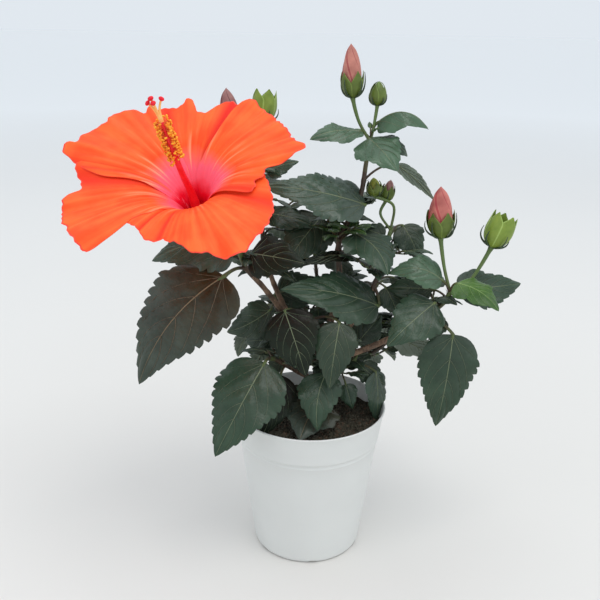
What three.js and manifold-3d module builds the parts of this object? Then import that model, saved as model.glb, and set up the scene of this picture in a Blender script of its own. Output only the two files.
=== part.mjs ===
// A potted hibiscus shrub in flower: a young woody plant in a plain tapered pot.
// Millimetres, +Z up. The origin is the middle of the pot's flat underside, and the
// plant is seen from the front along +Y, with +X to the right.
import * as THREE from "three";
import { mergeVertices } from "three/addons/utils/BufferGeometryUtils.js";
import Module from "manifold-3d";

const wasm = await Module();
wasm.setup();

// Driving dimensions
const CLEAR = 0.3; // gap kept between pieces that touch
const NEAR = 0.24; // a leaf nearer than this to another piece is left out
const FOLD = 0.12; // surface detail smaller than this is folded away in a mass of leaves

const POT = {
  rimRadius: 60,
  footRadius: 42.6,
  height: 120,
  wall: 1.6,
  floor: 3.2,
  slope: 0.13, // radius gained for each millimetre of height
  stepHeight: 94, // where the collar starts
  collarFlare: 0.9, // how far the collar stands out, reached over collarRise
  collarRise: 1.5,
  lipHeight: 8, // band under the rim that opens out
  footRound: 2.2,
  notches: 6,
  notchWidth: 9,
  notchHeight: 2.4,
  notchDepth: 3,
  firstNotch: -84, // bearing of the notch that faces the front, degrees
  sides: 36,
};

const SOIL = {
  top: 108,
  ripple: 1.6,
  waves: [0.21, 0.17], // turns of the ripple along X and Y, radians a millimetre
  flatRadius: 14, // level ground round the trunk
  rings: 5,
  sides: 24,
};

const TRUNK = {
  foot: [11, 14, SOIL.top + CLEAR],
  tip: [11.5, 12, 168],
  flareRadius: 7.6,
  radius: 4.7,
  tipRadius: 3.5,
  flareHeight: 12,
  flareFade: 2.2,
  sway: [-0.8, -1], // how far the lower trunk bows, along X and Y
  sides: 10,
  steps: 9,
};

const TWIG = { limbSides: 7, stemSides: 5, stalkSides: 3, stalkRadius: 1.05, step: 11, stalkStep: 14 };

const LEAF = {
  longRows: 8, // rows of a blade over longBlade, between the two, and up to shortBlade
  middleRows: 6,
  shortRows: 4,
  longBlade: 60,
  shortBlade: 26,
  width: 0.62, // greatest width over length
  thickness: 0.024, // of the length, at the midrib
  tooth: 0.075, // of the half width, out and in
  toothless: 0.25, // share of the length that is smooth edged
  sunk: 0.14, // share of the length that the stalk runs into the blade
};

const BUD = {
  // radius and height of the outline, as shares of the half width and of the length
  outline: [[0, 0], [0.7, 0.05], [1, 0.28], [0.84, 0.52], [0.5, 0.8], [0, 1]],
  sides: 7,
  stalkRadius: 1.1,
  // a thin leaflet round its foot: reach and height, by the same shares
  bract: [[0.3, 0.03], [1.5, 0.04], [1.35, 0.42]],
  bractRadius: 0.9,
};

const COLOURS = {
  pot: 0xe9e9e6,
  soil: 0x2a1d17,
  bark: 0x6b4a35,
  leaf: 0x2c4a2c,
  petal: 0xff5a28,
};

// Directions and curves

const DEG = Math.PI / 180;

// Unit vector of a bearing: 0 is right, 90 is away from the front, and rise is above level.
function bearing(heading, rise) {
  const level = Math.cos(rise * DEG);
  return new THREE.Vector3(
    level * Math.cos(heading * DEG),
    level * Math.sin(heading * DEG),
    Math.sin(rise * DEG),
  );
}

const vector = ([x, y, z]) => new THREE.Vector3(x, y, z);

// A seeded generator of numbers from 0 to 1.
function seeded(seed) {
  let state = seed;
  return () => {
    state = (1664525 * state + 1013904223) % 4294967296;
    return state / 4294967296;
  };
}

// A stretch of another curve, by distance along it.
class Stretch extends THREE.Curve {
  constructor(whole, start, end) {
    super();
    this.whole = whole;
    this.start = start;
    this.end = end;
  }

  getPoint(t, target = new THREE.Vector3()) {
    return this.whole.getPointAt(this.start + (this.end - this.start) * t, target);
  }
}

// Solids

function solidOf(geometry) {
  const bare = geometry.index ? geometry.toNonIndexed() : geometry.clone();
  bare.deleteAttribute("normal");
  bare.deleteAttribute("uv");
  const merged = mergeVertices(bare, 1e-3);
  return new wasm.Manifold(
    new wasm.Mesh({
      numProp: 3,
      vertProperties: merged.attributes.position.array,
      triVerts: new Uint32Array(merged.index.array),
    }),
  );
}

// The largest closed body of a fused solid, without loose scraps or sealed hollows.
function mainBody(solid) {
  const bodies = solid.decompose();
  return bodies.reduce((best, body) => (body.volume() > best.volume() ? body : best));
}

function meshOf(name, solid, material) {
  const { numProp, vertProperties, triVerts } = solid.getMesh();
  const count = vertProperties.length / numProp;
  const positions = new Float32Array(count * 3);
  for (let i = 0; i < count; i += 1) {
    positions.set(vertProperties.subarray(i * numProp, i * numProp + 3), i * 3);
  }
  const geometry = new THREE.BufferGeometry();
  geometry.setAttribute("position", new THREE.BufferAttribute(positions, 3));
  geometry.setIndex(new THREE.BufferAttribute(triVerts, 1));
  geometry.computeVertexNormals();
  const mesh = new THREE.Mesh(geometry, material);
  mesh.name = name;
  return mesh;
}

// A round tube along a curve whose radius follows radiusAt(share of the length).
function taperedTube(curve, radiusAt, sides, steps) {
  const ring = new THREE.Shape(
    Array.from({ length: sides }, (_, i) => {
      const turn = (2 * Math.PI * i) / sides;
      return new THREE.Vector2(Math.cos(turn), Math.sin(turn));
    }),
  );
  const geometry = new THREE.ExtrudeGeometry(ring, {
    steps,
    extrudePath: curve,
    bevelEnabled: false,
  });
  const middles = curve.getSpacedPoints(steps);
  const place = geometry.attributes.position;
  const point = new THREE.Vector3();
  for (let i = 0; i < place.count; i += 1) {
    point.fromBufferAttribute(place, i);
    const k = middles.reduce(
      (best, middle, j) =>
        Math.abs(middle.distanceTo(point) - 1) < Math.abs(middles[best].distanceTo(point) - 1)
          ? j
          : best,
      0,
    );
    point.sub(middles[k]).multiplyScalar(radiusAt(k / steps)).add(middles[k]);
    place.setXYZ(i, point.x, point.y, point.z);
  }
  return solidOf(geometry);
}

// A thin closed sheet over a grid: place(u, v) gives its middle surface and normal, and its
// two faces meet in a sharp edge all round. u runs 0 to 1 along, v runs -1 to 1 across.
function sheet(rows, columns, thickness, place) {
  const positions = [];
  const top = [];
  const under = [];
  for (let i = 0; i <= rows; i += 1) {
    for (let j = 0; j <= columns; j += 1) {
      const { point, normal } = place(i / rows, (2 * j) / columns - 1);
      const edge = i === 0 || i === rows || j === 0 || j === columns;
      const half = edge ? 0 : thickness / 2;
      const index = positions.length / 3;
      positions.push(...point.clone().addScaledVector(normal, half).toArray());
      top.push(index);
      if (edge) {
        under.push(index);
      } else {
        positions.push(...point.clone().addScaledVector(normal, -half).toArray());
        under.push(index + 1);
      }
    }
  }
  const faces = [];
  for (let i = 0; i < rows; i += 1) {
    for (let j = 0; j < columns; j += 1) {
      const a = i * (columns + 1) + j;
      const corners = [a, a + columns + 1, a + columns + 2, a + 1];
      const halves = j < columns / 2 ? [0, 1, 3, 1, 2, 3] : [0, 1, 2, 0, 2, 3];
      faces.push(...halves.map((k) => top[corners[k]]));
      faces.push(...[...halves].reverse().map((k) => under[corners[k]]));
    }
  }
  const geometry = new THREE.BufferGeometry();
  geometry.setAttribute("position", new THREE.Float32BufferAttribute(positions, 3));
  geometry.setIndex(faces);
  const solid = solidOf(geometry);
  if (solid.volume() >= 0) return solid;
  geometry.setIndex([...faces].reverse());
  return solidOf(geometry);
}

// Pot and soil

const potRadius = (z) => POT.footRadius + POT.slope * z;

function potSolid() {
  const { rimRadius, height, wall, floor, stepHeight, footRound, footRadius, sides } = POT;
  const { collarFlare, collarRise, lipHeight } = POT;
  const outside = [
    new THREE.Vector2(0, 0),
    new THREE.Vector2(footRadius - footRound, 0),
    new THREE.Vector2(potRadius(footRound), footRound),
    new THREE.Vector2(potRadius(stepHeight), stepHeight),
    new THREE.Vector2(potRadius(stepHeight) + collarFlare, stepHeight + collarRise),
    new THREE.Vector2(potRadius(height - lipHeight) + collarFlare, height - lipHeight),
    new THREE.Vector2(rimRadius, height),
  ];
  const inside = [
    new THREE.Vector2(rimRadius - wall, height),
    new THREE.Vector2(potRadius(height - lipHeight) + collarFlare - wall, height - lipHeight),
    new THREE.Vector2(potRadius(floor) - wall, floor),
    new THREE.Vector2(0, floor),
  ];
  let pot = solidOf(new THREE.LatheGeometry([...outside, ...inside], sides).rotateX(Math.PI / 2));
  for (let i = 0; i < POT.notches; i += 1) {
    const turn = (POT.firstNotch + (360 * i) / POT.notches) * DEG;
    const arch = new THREE.CylinderGeometry(1, 1, 2 * POT.notchDepth, 8)
      .scale(POT.notchHeight, 1, POT.notchWidth / 2)
      .rotateZ(Math.PI / 2)
      .rotateX(Math.PI / 2)
      .translate(footRadius, 0, 0)
      .rotateZ(turn);
    pot = pot.subtract(solidOf(arch));
  }
  return mainBody(pot);
}

function soilSolid() {
  const { top, ripple, waves, flatRadius, rings, sides } = SOIL;
  const { floor, wall, stepHeight, collarRise } = POT;
  const foot = potRadius(floor) - wall - CLEAR;
  const edge = potRadius(stepHeight + collarRise) - wall - CLEAR;
  const profile = [new THREE.Vector2(0, floor + CLEAR), new THREE.Vector2(foot, floor + CLEAR)];
  profile.push(new THREE.Vector2(edge, stepHeight + collarRise));
  for (let i = 0; i < rings; i += 1) {
    profile.push(new THREE.Vector2(edge * (1 - i / rings), top));
  }
  profile.push(new THREE.Vector2(0, top));
  const geometry = new THREE.LatheGeometry(profile, sides).rotateX(Math.PI / 2);
  const place = geometry.attributes.position;
  for (let i = 0; i < place.count; i += 1) {
    const x = place.getX(i);
    const y = place.getY(i);
    const away = Math.hypot(x - TRUNK.foot[0], y - TRUNK.foot[1]) - flatRadius;
    if (place.getZ(i) < top - 1 || away < 0) continue;
    const swell = Math.sin(waves[0] * x + 1) * Math.cos(waves[1] * y) - 1;
    place.setZ(i, top + ripple * swell * Math.min(1, away / flatRadius));
  }
  return solidOf(geometry);
}

// Trunk, limbs and stems

function trunkCurve() {
  const { foot, tip, flareHeight, sway } = TRUNK;
  const [x, y, z] = foot;
  return new THREE.CatmullRomCurve3([
    vector(foot),
    new THREE.Vector3(x, y, z + flareHeight / 2),
    new THREE.Vector3(x + sway[0], y + sway[1], z + 2 * flareHeight),
    vector(tip).lerp(new THREE.Vector3(x, y, z + flareHeight), 0.3),
    vector(tip),
  ]);
}

function trunkSolid(grow = 0) {
  const { flareRadius, radius, tipRadius, flareHeight, flareFade, sides, steps } = TRUNK;
  const curve = trunkCurve();
  const length = curve.getLength();
  return taperedTube(
    curve,
    (t) => {
      const flare = Math.exp((-flareFade * t * length) / flareHeight) * (flareRadius - radius);
      return grow + flare + radius + (tipRadius - radius) * t;
    },
    sides,
    steps,
  );
}

// Shoots: each leaves the trunk or another shoot, runs bare as a limb for a share of its
// length, and goes on as the stem of a mass of leaves. A bare share of 0 is a stem alone.
const SHOOTS = {
  left: {
    points: [[10, 12, 157], [-7, 8, 178], [-22, 2, 197], [-37, -8, 220], [-48, -19, 237], [-52, -28, 253]],
    bare: 0.76,
    radii: [2.5, 1.7],
  },
  left_back: {
    from: "left",
    points: [[-15, 5, 188], [-21, 9, 198], [-31, 14, 220], [-37, 18, 245], [-39, 20, 278], [-41, 20, 309]],
    bare: 0.42,
    radii: [2.1, 1.4],
  },
  centre: {
    points: [[11.5, 12, 168.3], [16, 14, 186], [21, 13, 206], [21, 12, 224], [20, 14, 248],
      [27, 9, 268], [34, 4, 286], [37, 2, 311], [39, 0, 325]],
    bare: 0.38,
    radii: [2.7, 1.5],
  },
  middle: {
    points: [[12, 12, 159], [26, 7, 178], [40, 4, 200], [47, 5, 216], [54, 8, 240], [58, 10, 259]],
    bare: 0.58,
    radii: [2.3, 1.5],
  },
  right: {
    points: [[11, 13, 151], [26, -3, 162], [38, -6, 168], [57, -10, 179], [80, -15, 197], [97, -18, 213],
      [100, -20, 221]],
    bare: 0.66,
    radii: [2.6, 1.6],
  },
  low_left: {
    points: [[10, 13, 131], [-5, 5, 142], [-18, -9, 156], [-27, -20, 166], [-31, -27, 170]],
    bare: 0.55,
    radii: [2.1, 1.5],
  },
  front: {
    points: [[10, 12, 146], [6, -1, 160], [2, -9, 178], [0, -15, 198]],
    bare: 0,
    radii: [1.9, 1.3],
  },
  low_right: {
    points: [[11, 13, 139], [24, 9, 146], [36, 4, 157]],
    bare: 0,
    radii: [1.8, 1.3],
  },
  back_left: {
    points: [[10, 13, 143], [-6, 22, 158], [-22, 27, 176], [-30, 30, 200]],
    bare: 0,
    radii: [1.9, 1.3],
  },
  back: {
    points: [[11, 14, 150], [10, 36, 168], [6, 50, 198], [2, 52, 232]],
    bare: 0,
    radii: [2.1, 1.3],
  },
  back_right: {
    points: [[11, 13, 145], [28, 34, 156], [46, 44, 180], [54, 46, 212]],
    bare: 0,
    radii: [2.0, 1.3],
  },
  side_right: {
    points: [[11, 13, 136], [34, 20, 146], [56, 27, 156], [72, 30, 170]],
    bare: 0,
    radii: [1.8, 1.2],
  },
};

const shootCurve = (shoot) => new THREE.CatmullRomCurve3(shoot.points.map(vector));

// The solid between two shares of a shoot's length, grown by a margin where it cuts others.
function shootSolid(shoot, start, end, sides, grow = 0) {
  const whole = shootCurve(shoot);
  const [first, last] = shoot.radii;
  const steps = Math.max(2, Math.round(((end - start) * whole.getLength()) / TWIG.step));
  const radiusAt = (t) => first + (last - first) * (start + (end - start) * t) + grow;
  return taperedTube(new Stretch(whole, start, end), radiusAt, sides, steps);
}

const stemStart = (shoot) => shoot.bare + (shoot.bare ? CLEAR / shootCurve(shoot).getLength() : 0);

// Leaves

// Half the width of a leaf at a share of its length, as a share of its greatest half width.
function ovate(s) {
  return Math.sin(Math.PI * s ** 0.62) ** 0.85 * (1 - 0.22 * s ** 3);
}

// A leaf: at is where its stalk leaves the stem, stalk is [heading, rise, length], blade is
// [length, heading, rise], face is the [heading, rise] that its upper side looks to.
function leafSolid(stem, leaf) {
  const { at, stalk, blade, face = [0, 90], width = LEAF.width, arch = 0.06, cup = 0.12 } = leaf;
  const [stalkHeading, stalkRise, stalkLength] = stalk;
  const [length, heading, rise] = blade;
  const root = stem.getPointAt(at);
  const base = root.clone().addScaledVector(bearing(stalkHeading, stalkRise), stalkLength);
  const along = bearing(heading, rise);
  const looks = bearing(...face);
  const up = looks.clone().addScaledVector(along, -looks.dot(along)).normalize();
  const across = up.clone().cross(along);
  const half = (length * width) / 2;
  const { longRows, middleRows, shortRows, longBlade, shortBlade } = LEAF;
  const rows = length > longBlade ? longRows : length > shortBlade ? middleRows : shortRows;
  const place = (u, v) => {
    const row = Math.round(u * rows);
    const toothed = u > LEAF.toothless && u < 1 ? (row % 2 ? LEAF.tooth : -LEAF.tooth) : 0;
    const reach = Math.max(u === 0 ? 1 : 0.4, half * ovate(u) * (1 + toothed));
    const lift = length * arch * 4 * u * (1 - u) - Math.abs(v) * reach * cup;
    const forward = u + Math.abs(v) * (toothed > 0 ? 0.35 / rows : 0);
    return {
      point: base
        .clone()
        .addScaledVector(along, length * forward)
        .addScaledVector(across, reach * v)
        .addScaledVector(up, lift),
      normal: up,
    };
  };
  const thickness = Math.max(1.1, length * LEAF.thickness);
  const bladeSolid = sheet(rows, 2, thickness, place);
  const bend = root
    .clone()
    .addScaledVector(bearing(stalkHeading, stalkRise), stalkLength * 0.6)
    .addScaledVector(along, -stalkLength * 0.15)
    .addScaledVector(new THREE.Vector3(0, 0, 1), stalkLength * 0.12);
  const sunk = place(LEAF.sunk, 0).point;
  const stalkCurve = new THREE.QuadraticBezierCurve3(root, bend, sunk);
  const steps = Math.max(2, Math.round(stalkLength / TWIG.stalkStep));
  const stalkSolid = taperedTube(stalkCurve, (t) => TWIG.stalkRadius * (1 - 0.6 * t), TWIG.stalkSides, steps);
  return bladeSolid.add(stalkSolid);
}

// Buds and bloom

// A spindle of revolution from a list of [radius, height] between its two pointed ends.
function spindle(profile, sides) {
  const points = profile.map(([radius, height]) => new THREE.Vector2(radius, height));
  return new THREE.LatheGeometry(points, sides).rotateX(Math.PI / 2);
}

// Stands a geometry that grows along +Z at a point, pointing along a direction.
function stand(geometry, point, direction) {
  const turn = new THREE.Quaternion().setFromUnitVectors(new THREE.Vector3(0, 0, 1), direction);
  return geometry.applyQuaternion(turn).translate(point.x, point.y, point.z);
}

// A bud: stalk is its path from the stem's tip as [heading, rise, length] legs, and lean is
// the [heading, rise] of the bud, which is length long and width across.
function budSolid(stem, bud) {
  const { at = 1, legs, lean, length, width, bracts = 4 } = bud;
  const path = [stem.getPointAt(at)];
  for (const [heading, rise, reach] of legs) {
    path.push(path.at(-1).clone().addScaledVector(bearing(heading, rise), reach));
  }
  const foot = path.at(-1);
  const points = bearing(...lean);
  path.push(foot.clone().addScaledVector(points, 3));
  const radius = width / 2;
  const outline = BUD.outline.map(([r, h]) => [r * radius, h * length]);
  let solid = solidOf(stand(spindle(outline, BUD.sides), foot, points));
  const curve = new THREE.CatmullRomCurve3(path);
  const steps = Math.max(3, Math.round(curve.getLength() / TWIG.step));
  solid = solid.add(taperedTube(curve, () => BUD.stalkRadius, TWIG.stalkSides, steps));
  const turned = new THREE.Quaternion().setFromUnitVectors(new THREE.Vector3(0, 0, 1), points);
  for (let i = 0; i < bracts; i += 1) {
    const turn = (2 * Math.PI * i) / bracts;
    const [root, bend, tip] = BUD.bract.map(([out, rise]) =>
      new THREE.Vector3(radius * out * Math.cos(turn), radius * out * Math.sin(turn), length * rise)
        .applyQuaternion(turned)
        .add(foot),
    );
    const curl = new THREE.QuadraticBezierCurve3(root, bend, tip);
    solid = solid.add(taperedTube(curl, (t) => BUD.bractRadius * (1 - 0.55 * t), TWIG.stalkSides, 2));
  }
  return solid;
}

const BLOOM = {
  throat: [-79, -60, 295], // where the column leaves the throat, on the flower's axis
  axis: [-108, 58], // heading and rise of that axis
  column: [-121, 63], // heading and rise of the column
  throatDepth: 28,
  rise: 21, // the petals' lift above the throat
  thickness: 1.3,
  mouth: 4.2, // radius of the tube that the petals leave
  funnelFade: 14, // how soon the funnel opens flat
  // bearing of each petal round the axis, half its width, its twist, and how far out its
  // edge lies at even steps across
  petals: [
    { turn: 35, half: 46, twist: 5, edge: [50, 76, 73, 74, 76, 74] },
    { turn: 92, half: 38, twist: 5, edge: [70, 77, 78, 78, 78, 70] },
    { turn: 147, half: 50, twist: 5, edge: [72, 92, 89, 99, 80, 64] },
    { turn: 208, half: 42, twist: 4, edge: [66, 77, 80, 80, 78, 52] },
    { turn: 300, half: 54, twist: 4, edge: [54, 58, 80, 79, 69, 57] },
  ],
  rows: 6,
  columns: 5,
  ruffle: 4,
  ruffleTurn: 4.4,
  droop: 3,
  columnReach: 68,
  anthers: { from: 0.53, to: 0.84, radius: 4.8 }, // the pollen zone, by share of the column
  stigmas: { count: 5, spread: 3.4, rise: 3.5, radius: 1.8 },
  calyxRadius: 8,
  // radius and height of the calyx, as shares of the radius and in millimetres
  calyx: [[0, 0], [0.75, 1.5], [1, 8], [1.05, 16], [1.2, 25], [0, 19]],
};

// The flower's own frame: axis, and the two directions across it.
function bloomFrame() {
  const axis = bearing(...BLOOM.axis);
  const right = new THREE.Vector3(1, 0, 0).addScaledVector(axis, -axis.x).normalize();
  return { axis, right, up: axis.clone().cross(right) };
}

function petalSolid(petal, index) {
  const { axis, right, up } = bloomFrame();
  const throat = vector(BLOOM.throat);
  const { rows, columns, thickness, rise, throatDepth, mouth, funnelFade } = BLOOM;
  const { ruffle, ruffleTurn, droop } = BLOOM;
  const surface = (u, v) => {
    const step = Math.min(petal.edge.length - 2, Math.floor(((v + 1) / 2) * (petal.edge.length - 1)));
    const share = ((v + 1) / 2) * (petal.edge.length - 1) - step;
    const edge = petal.edge[step] * (1 - share) + petal.edge[step + 1] * share;
    const radius = mouth + (edge - mouth) * u;
    const narrow = 0.85 * mouth;
    const half = narrow + (petal.half - narrow) * Math.sin((Math.PI / 2) * Math.min(1, u * 1.12)) ** 0.9;
    const turn = petal.turn * DEG + (half * v) / radius;
    const funnel = rise - (rise + throatDepth) * Math.exp((mouth - radius) / funnelFade);
    const frill = ruffle * Math.sin(ruffleTurn * v + 1.7 * index) * u ** 3 - droop * u ** 6;
    const height = funnel + frill + petal.twist * v * Math.min(1, u * 1.6);
    return throat
      .clone()
      .addScaledVector(right, radius * Math.cos(turn))
      .addScaledVector(up, radius * Math.sin(turn))
      .addScaledVector(axis, height);
  };
  const place = (u, v) => {
    const near = 0.01;
    const du = surface(Math.min(1, u + near), v).sub(surface(Math.max(0, u - near), v));
    const dv = surface(u, Math.min(1, v + near)).sub(surface(u, Math.max(-1, v - near)));
    return { point: surface(u, v), normal: du.cross(dv).normalize() };
  };
  return sheet(rows, columns, thickness, place);
}

function bloomSolid() {
  const { axis } = bloomFrame();
  const throat = vector(BLOOM.throat);
  const along = (reach) => throat.clone().addScaledVector(axis, reach);
  const receptacle = along(-BLOOM.throatDepth - 2);
  const stem = shootCurve(SHOOTS.left);
  const start = stem.getPointAt(1).addScaledVector(stem.getTangentAt(1), CLEAR);
  const stalk = new THREE.CubicBezierCurve3(
    start,
    start.clone().addScaledVector(stem.getTangentAt(1), 8),
    along(-BLOOM.throatDepth - 16),
    receptacle.clone().addScaledVector(axis, 2),
  );
  let solid = taperedTube(stalk, (t) => 1.5 + 0.9 * t, 6, 6);
  const calyx = BLOOM.calyx.map(([r, h]) => [r * BLOOM.calyxRadius, h]);
  solid = solid.add(solidOf(stand(spindle(calyx, 10), receptacle, axis)));
  BLOOM.petals.forEach((petal, index) => {
    solid = solid.add(petalSolid(petal, index));
  });
  const reach = BLOOM.columnReach;
  const leads = bearing(...BLOOM.column);
  const column = new THREE.CatmullRomCurve3([
    along(-BLOOM.throatDepth + 2),
    along(0),
    throat.clone().addScaledVector(leads, reach * 0.5),
    throat.clone().addScaledVector(leads, reach),
  ]);
  const { anthers, stigmas } = BLOOM;
  const columnRadius = (t) => {
    if (t <= anthers.from) return 3.6 - 2 * t;
    return t < anthers.to ? anthers.radius : 1.2;
  };
  solid = solid.add(taperedTube(column, columnRadius, 7, 14));
  const tip = column.getPointAt(1);
  const lead = column.getTangentAt(1);
  for (let i = 0; i < stigmas.count; i += 1) {
    const out = bearing((360 * i) / stigmas.count, 0).multiplyScalar(stigmas.spread);
    const end = tip.clone().add(out).addScaledVector(lead, stigmas.rise);
    const arm = new THREE.LineCurve3(tip.clone().addScaledVector(lead, -1.5), end);
    const pad = new THREE.IcosahedronGeometry(stigmas.radius).translate(end.x, end.y, end.z);
    solid = solid.add(taperedTube(arm, () => 0.8, 4, 1)).add(solidOf(pad));
  }
  return mainBody(solid);
}

// Leaves and buds that the front shows, by the shoot that carries them
const FOLIAGE = {
  left: {
    leaves: [
      { at: 0.3, stalk: [-122, 4, 26], blade: [92, -153, -46], face: [-100, 22], width: 0.53, cup: 0.16 },
      { at: 0.9, stalk: [150, 0, 6], blade: [62, 178, -8], face: [-95, 72], width: 0.55 },
      { at: 0.8, stalk: [-22, 17, 8], blade: [43, -28, 0], face: [-80, 35], width: 0.75 },
    ],
  },
  left_back: {
    leaves: [
      { at: 0.86, stalk: [-20, 10, 6], blade: [30, 0, 15], face: [-90, 45] },
      { at: 0.45, stalk: [-30, 0, 6], blade: [36, -10, -12], face: [-90, 50] },
    ],
    buds: [
      { legs: [[180, 20, 14], [170, 60, 8]], lean: [180, 84], length: 38, width: 15 },
      { legs: [[30, 75, 12], [0, 85, 14]], lean: [0, 88], length: 24, width: 15 },
    ],
  },
  centre: {
    leaves: [
      { at: 0.12, stalk: [-60, 5, 16], blade: [44, -161, -7], face: [-90, 80], width: 0.4 },
      { at: 0.2, stalk: [-65, 12, 15], blade: [44, -53, -25], face: [-60, 55], width: 0.72 },
      { at: 0.25, stalk: [146, 34, 21], blade: [50, -132, -36], face: [-90, 30], width: 0.75 },
      { at: 0.52, stalk: [-48, 0, 10], blade: [76, -169, 14], face: [-95, 50], width: 0.58 },
      { at: 0.28, stalk: [-140, 40, 5], blade: [21, -148, 57], face: [-60, 30], width: 0.5 },
      { at: 0.3, stalk: [-20, 40, 5], blade: [18, -17, 67], face: [-120, 30], width: 0.5 },
      { at: 0.72, stalk: [7, 26, 26], blade: [38, -24, -39], face: [40, 50], width: 0.5 },
      { at: 0.99, stalk: [180, 55, 10], blade: [39, -162, -4], face: [-90, 60] },
      { at: 0.99, stalk: [40, 52, 10], blade: [36, -13, 3], face: [-90, 50], arch: 0.16 },
      { at: 0.94, stalk: [-90, 20, 5], blade: [38, -72, -22], face: [-85, 55], width: 0.72 },
      { at: 0.97, stalk: [45, 5, 8], blade: [26, 14, -20], face: [-60, 30], arch: 0.14 },
    ],
    buds: [
      { legs: [[180, 65, 17], [180, 66, 17]], lean: [170, 86], length: 36, width: 15 },
      { legs: [[45, 75, 13], [40, 80, 12]], lean: [60, 86], length: 17, width: 10.5 },
    ],
  },
  middle: {
    leaves: [
      { at: 0.06, stalk: [-70, -40, 15], blade: [76, -162, 17], face: [-95, 50], width: 0.5 },
      { at: 0.12, stalk: [10, -35, 9], blade: [16, -32, -60], face: [-90, 20], width: 0.9 },
      { at: 0.97, stalk: [37, 0, 10], blade: [24, -60, -50], face: [-80, 20], width: 0.8 },
      { at: 0.86, stalk: [120, 10, 5], blade: [22, 162, 15], face: [-90, 40], width: 0.8 },
    ],
    buds: [
      { legs: [[-170, 80, 19], [-170, 32, 14]], lean: [-140, 80], length: 14, width: 10, bracts: 0 },
      { legs: [[165, 62, 15], [30, 70, 9]], lean: [0, 79], length: 16, width: 9, bracts: 0 },
    ],
  },
  right: {
    leaves: [
      { at: 0.97, stalk: [-160, 58, 13], blade: [39, 174, 5], face: [-90, 45], arch: 0.14 },
      { at: 0.86, stalk: [125, 10, 16], blade: [35, 163, -5], face: [-90, 25] },
      { at: 0.98, stalk: [-58, 50, 15], blade: [34, -42, -25], face: [-60, 60], width: 0.7 },
      { at: 0.95, stalk: [47, 32, 12], blade: [52, 20, -3], face: [-90, 45] },
      { at: 0.55, stalk: [-102, 42, 13], blade: [50, -147, -33], face: [-90, 50] },
      { at: 0.45, stalk: [10, -24, 13], blade: [20, -147, -43], face: [-90, 30] },
      { at: 0.12, stalk: [112, -42, 32], blade: [41, 3, -30], face: [90, 40] },
      { at: 0.3, stalk: [-13, -35, 26], blade: [72, -130, -82], face: [-85, 15], width: 0.54 },
    ],
    buds: [
      { legs: [[-175, 80, 20], [180, 77, 22]], lean: [180, 86], length: 38, width: 18 },
      { legs: [[8, 28, 14], [12, 60, 30]], lean: [14, 70], length: 27, width: 19 },
    ],
  },
  low_left: {
    leaves: [
      { at: 0.98, stalk: [-110, -14, 8], blade: [77, -130, -46], face: [-100, 28], width: 0.66 },
      { at: 0.2, stalk: [-112, -20, 11], blade: [49, -120, -59], face: [-80, 20], width: 0.65 },
    ],
  },
  front: {
    leaves: [
      { at: 0.97, stalk: [-34, 3, 22], blade: [50, -116, -69], face: [-90, 20] },
      { at: 0.97, stalk: [-145, 18, 26], blade: [50, -45, -63], face: [-95, 20], width: 0.75 },
      { at: 0.35, stalk: [-74, -22, 22], blade: [42, -103, -54], face: [-88, 30], width: 0.7 },
      { at: 0.15, stalk: [-95, -62, 30], blade: [42, -136, -18], face: [-90, 70], width: 0.75 },
    ],
  },
  low_right: {
    leaves: [
      { at: 0.97, stalk: [80, 45, 14], blade: [30, 20, 47], face: [-90, 20], width: 0.85 },
      { at: 0.9, stalk: [-10, -30, 6], blade: [30, -5, -18], face: [-90, 20], width: 0.8 },
      { at: 0.7, stalk: [-17, -25, 18], blade: [36, -57, -84], face: [0, 10], width: 0.6 },
      { at: 0.45, stalk: [-72, -24, 16], blade: [20, -55, -61], face: [-90, 20], width: 0.75 },
    ],
  },
  back_left: {
    leaves: [
      { at: 0.95, stalk: [-100, 20, 16], blade: [34, 175, -38], face: [-90, 30], width: 0.8 },
      { at: 0.6, stalk: [-150, -34, 14], blade: [26, 158, -12], face: [-90, 40], width: 0.8 },
      { at: 0.97, stalk: [60, 20, 6], blade: [44, 12, 4], face: [-90, 30], width: 0.7 },
    ],
  },
  back: {
    leaves: [
      { at: 0.5, stalk: [-60, 0, 14], blade: [44, -165, -25], face: [-90, 35], width: 0.8 },
      { at: 0.62, stalk: [-30, 10, 12], blade: [44, -20, -20], face: [-90, 40], width: 0.75 },
      { at: 0.4, stalk: [-100, -10, 10], blade: [40, -110, -60], face: [-90, 20], width: 0.8 },
    ],
  },
};

// Leaves that a seeded rule adds round the sides and back, by the shoot that carries them:
// count leaves from the first share of the stem on, turned by the golden angle.
const FILL = {
  left: { seed: 11, count: 3, first: 0.3, heading: 150, sector: [90, 170], size: [44, 54] },
  left_back: { seed: 23, count: 5, first: 0.1, heading: 120, sector: [30, 180], size: [42, 54] },
  centre: { seed: 35, count: 5, first: 0.08, last: 0.62, heading: 80, sector: [30, 150], size: [36, 48] },
  middle: { seed: 48, count: 4, first: 0.02, heading: 60, sector: [30, 130], size: [36, 46] },
  right: { seed: 59, count: 4, first: 0.15, heading: 70, sector: [50, 150], size: [38, 48] },
  low_left: { seed: 61, count: 2, first: 0.3, heading: 120, sector: [80, 140], size: [30, 36] },
  back_left: { seed: 73, count: 6, first: 0.3, heading: 110, sector: [60, 150], size: [40, 54] },
  back: { seed: 85, count: 9, first: 0.3, heading: 90, sector: [20, 170], size: [44, 56] },
  back_right: { seed: 97, count: 9, first: 0.3, heading: 60, sector: [10, 130], size: [44, 54] },
  side_right: { seed: 101, count: 5, first: 0.4, heading: 80, sector: [45, 125], size: [36, 46] },
};

const FILL_RULE = {
  golden: 137.5, // degrees from one leaf to the next
  rise: 12, // of the highest leaf, and how far below it the lowest may hang
  fall: 45,
  stalk: 12, // shortest stalk, and how much longer one may be
  stalkMore: 10,
  face: 50,
};

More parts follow.
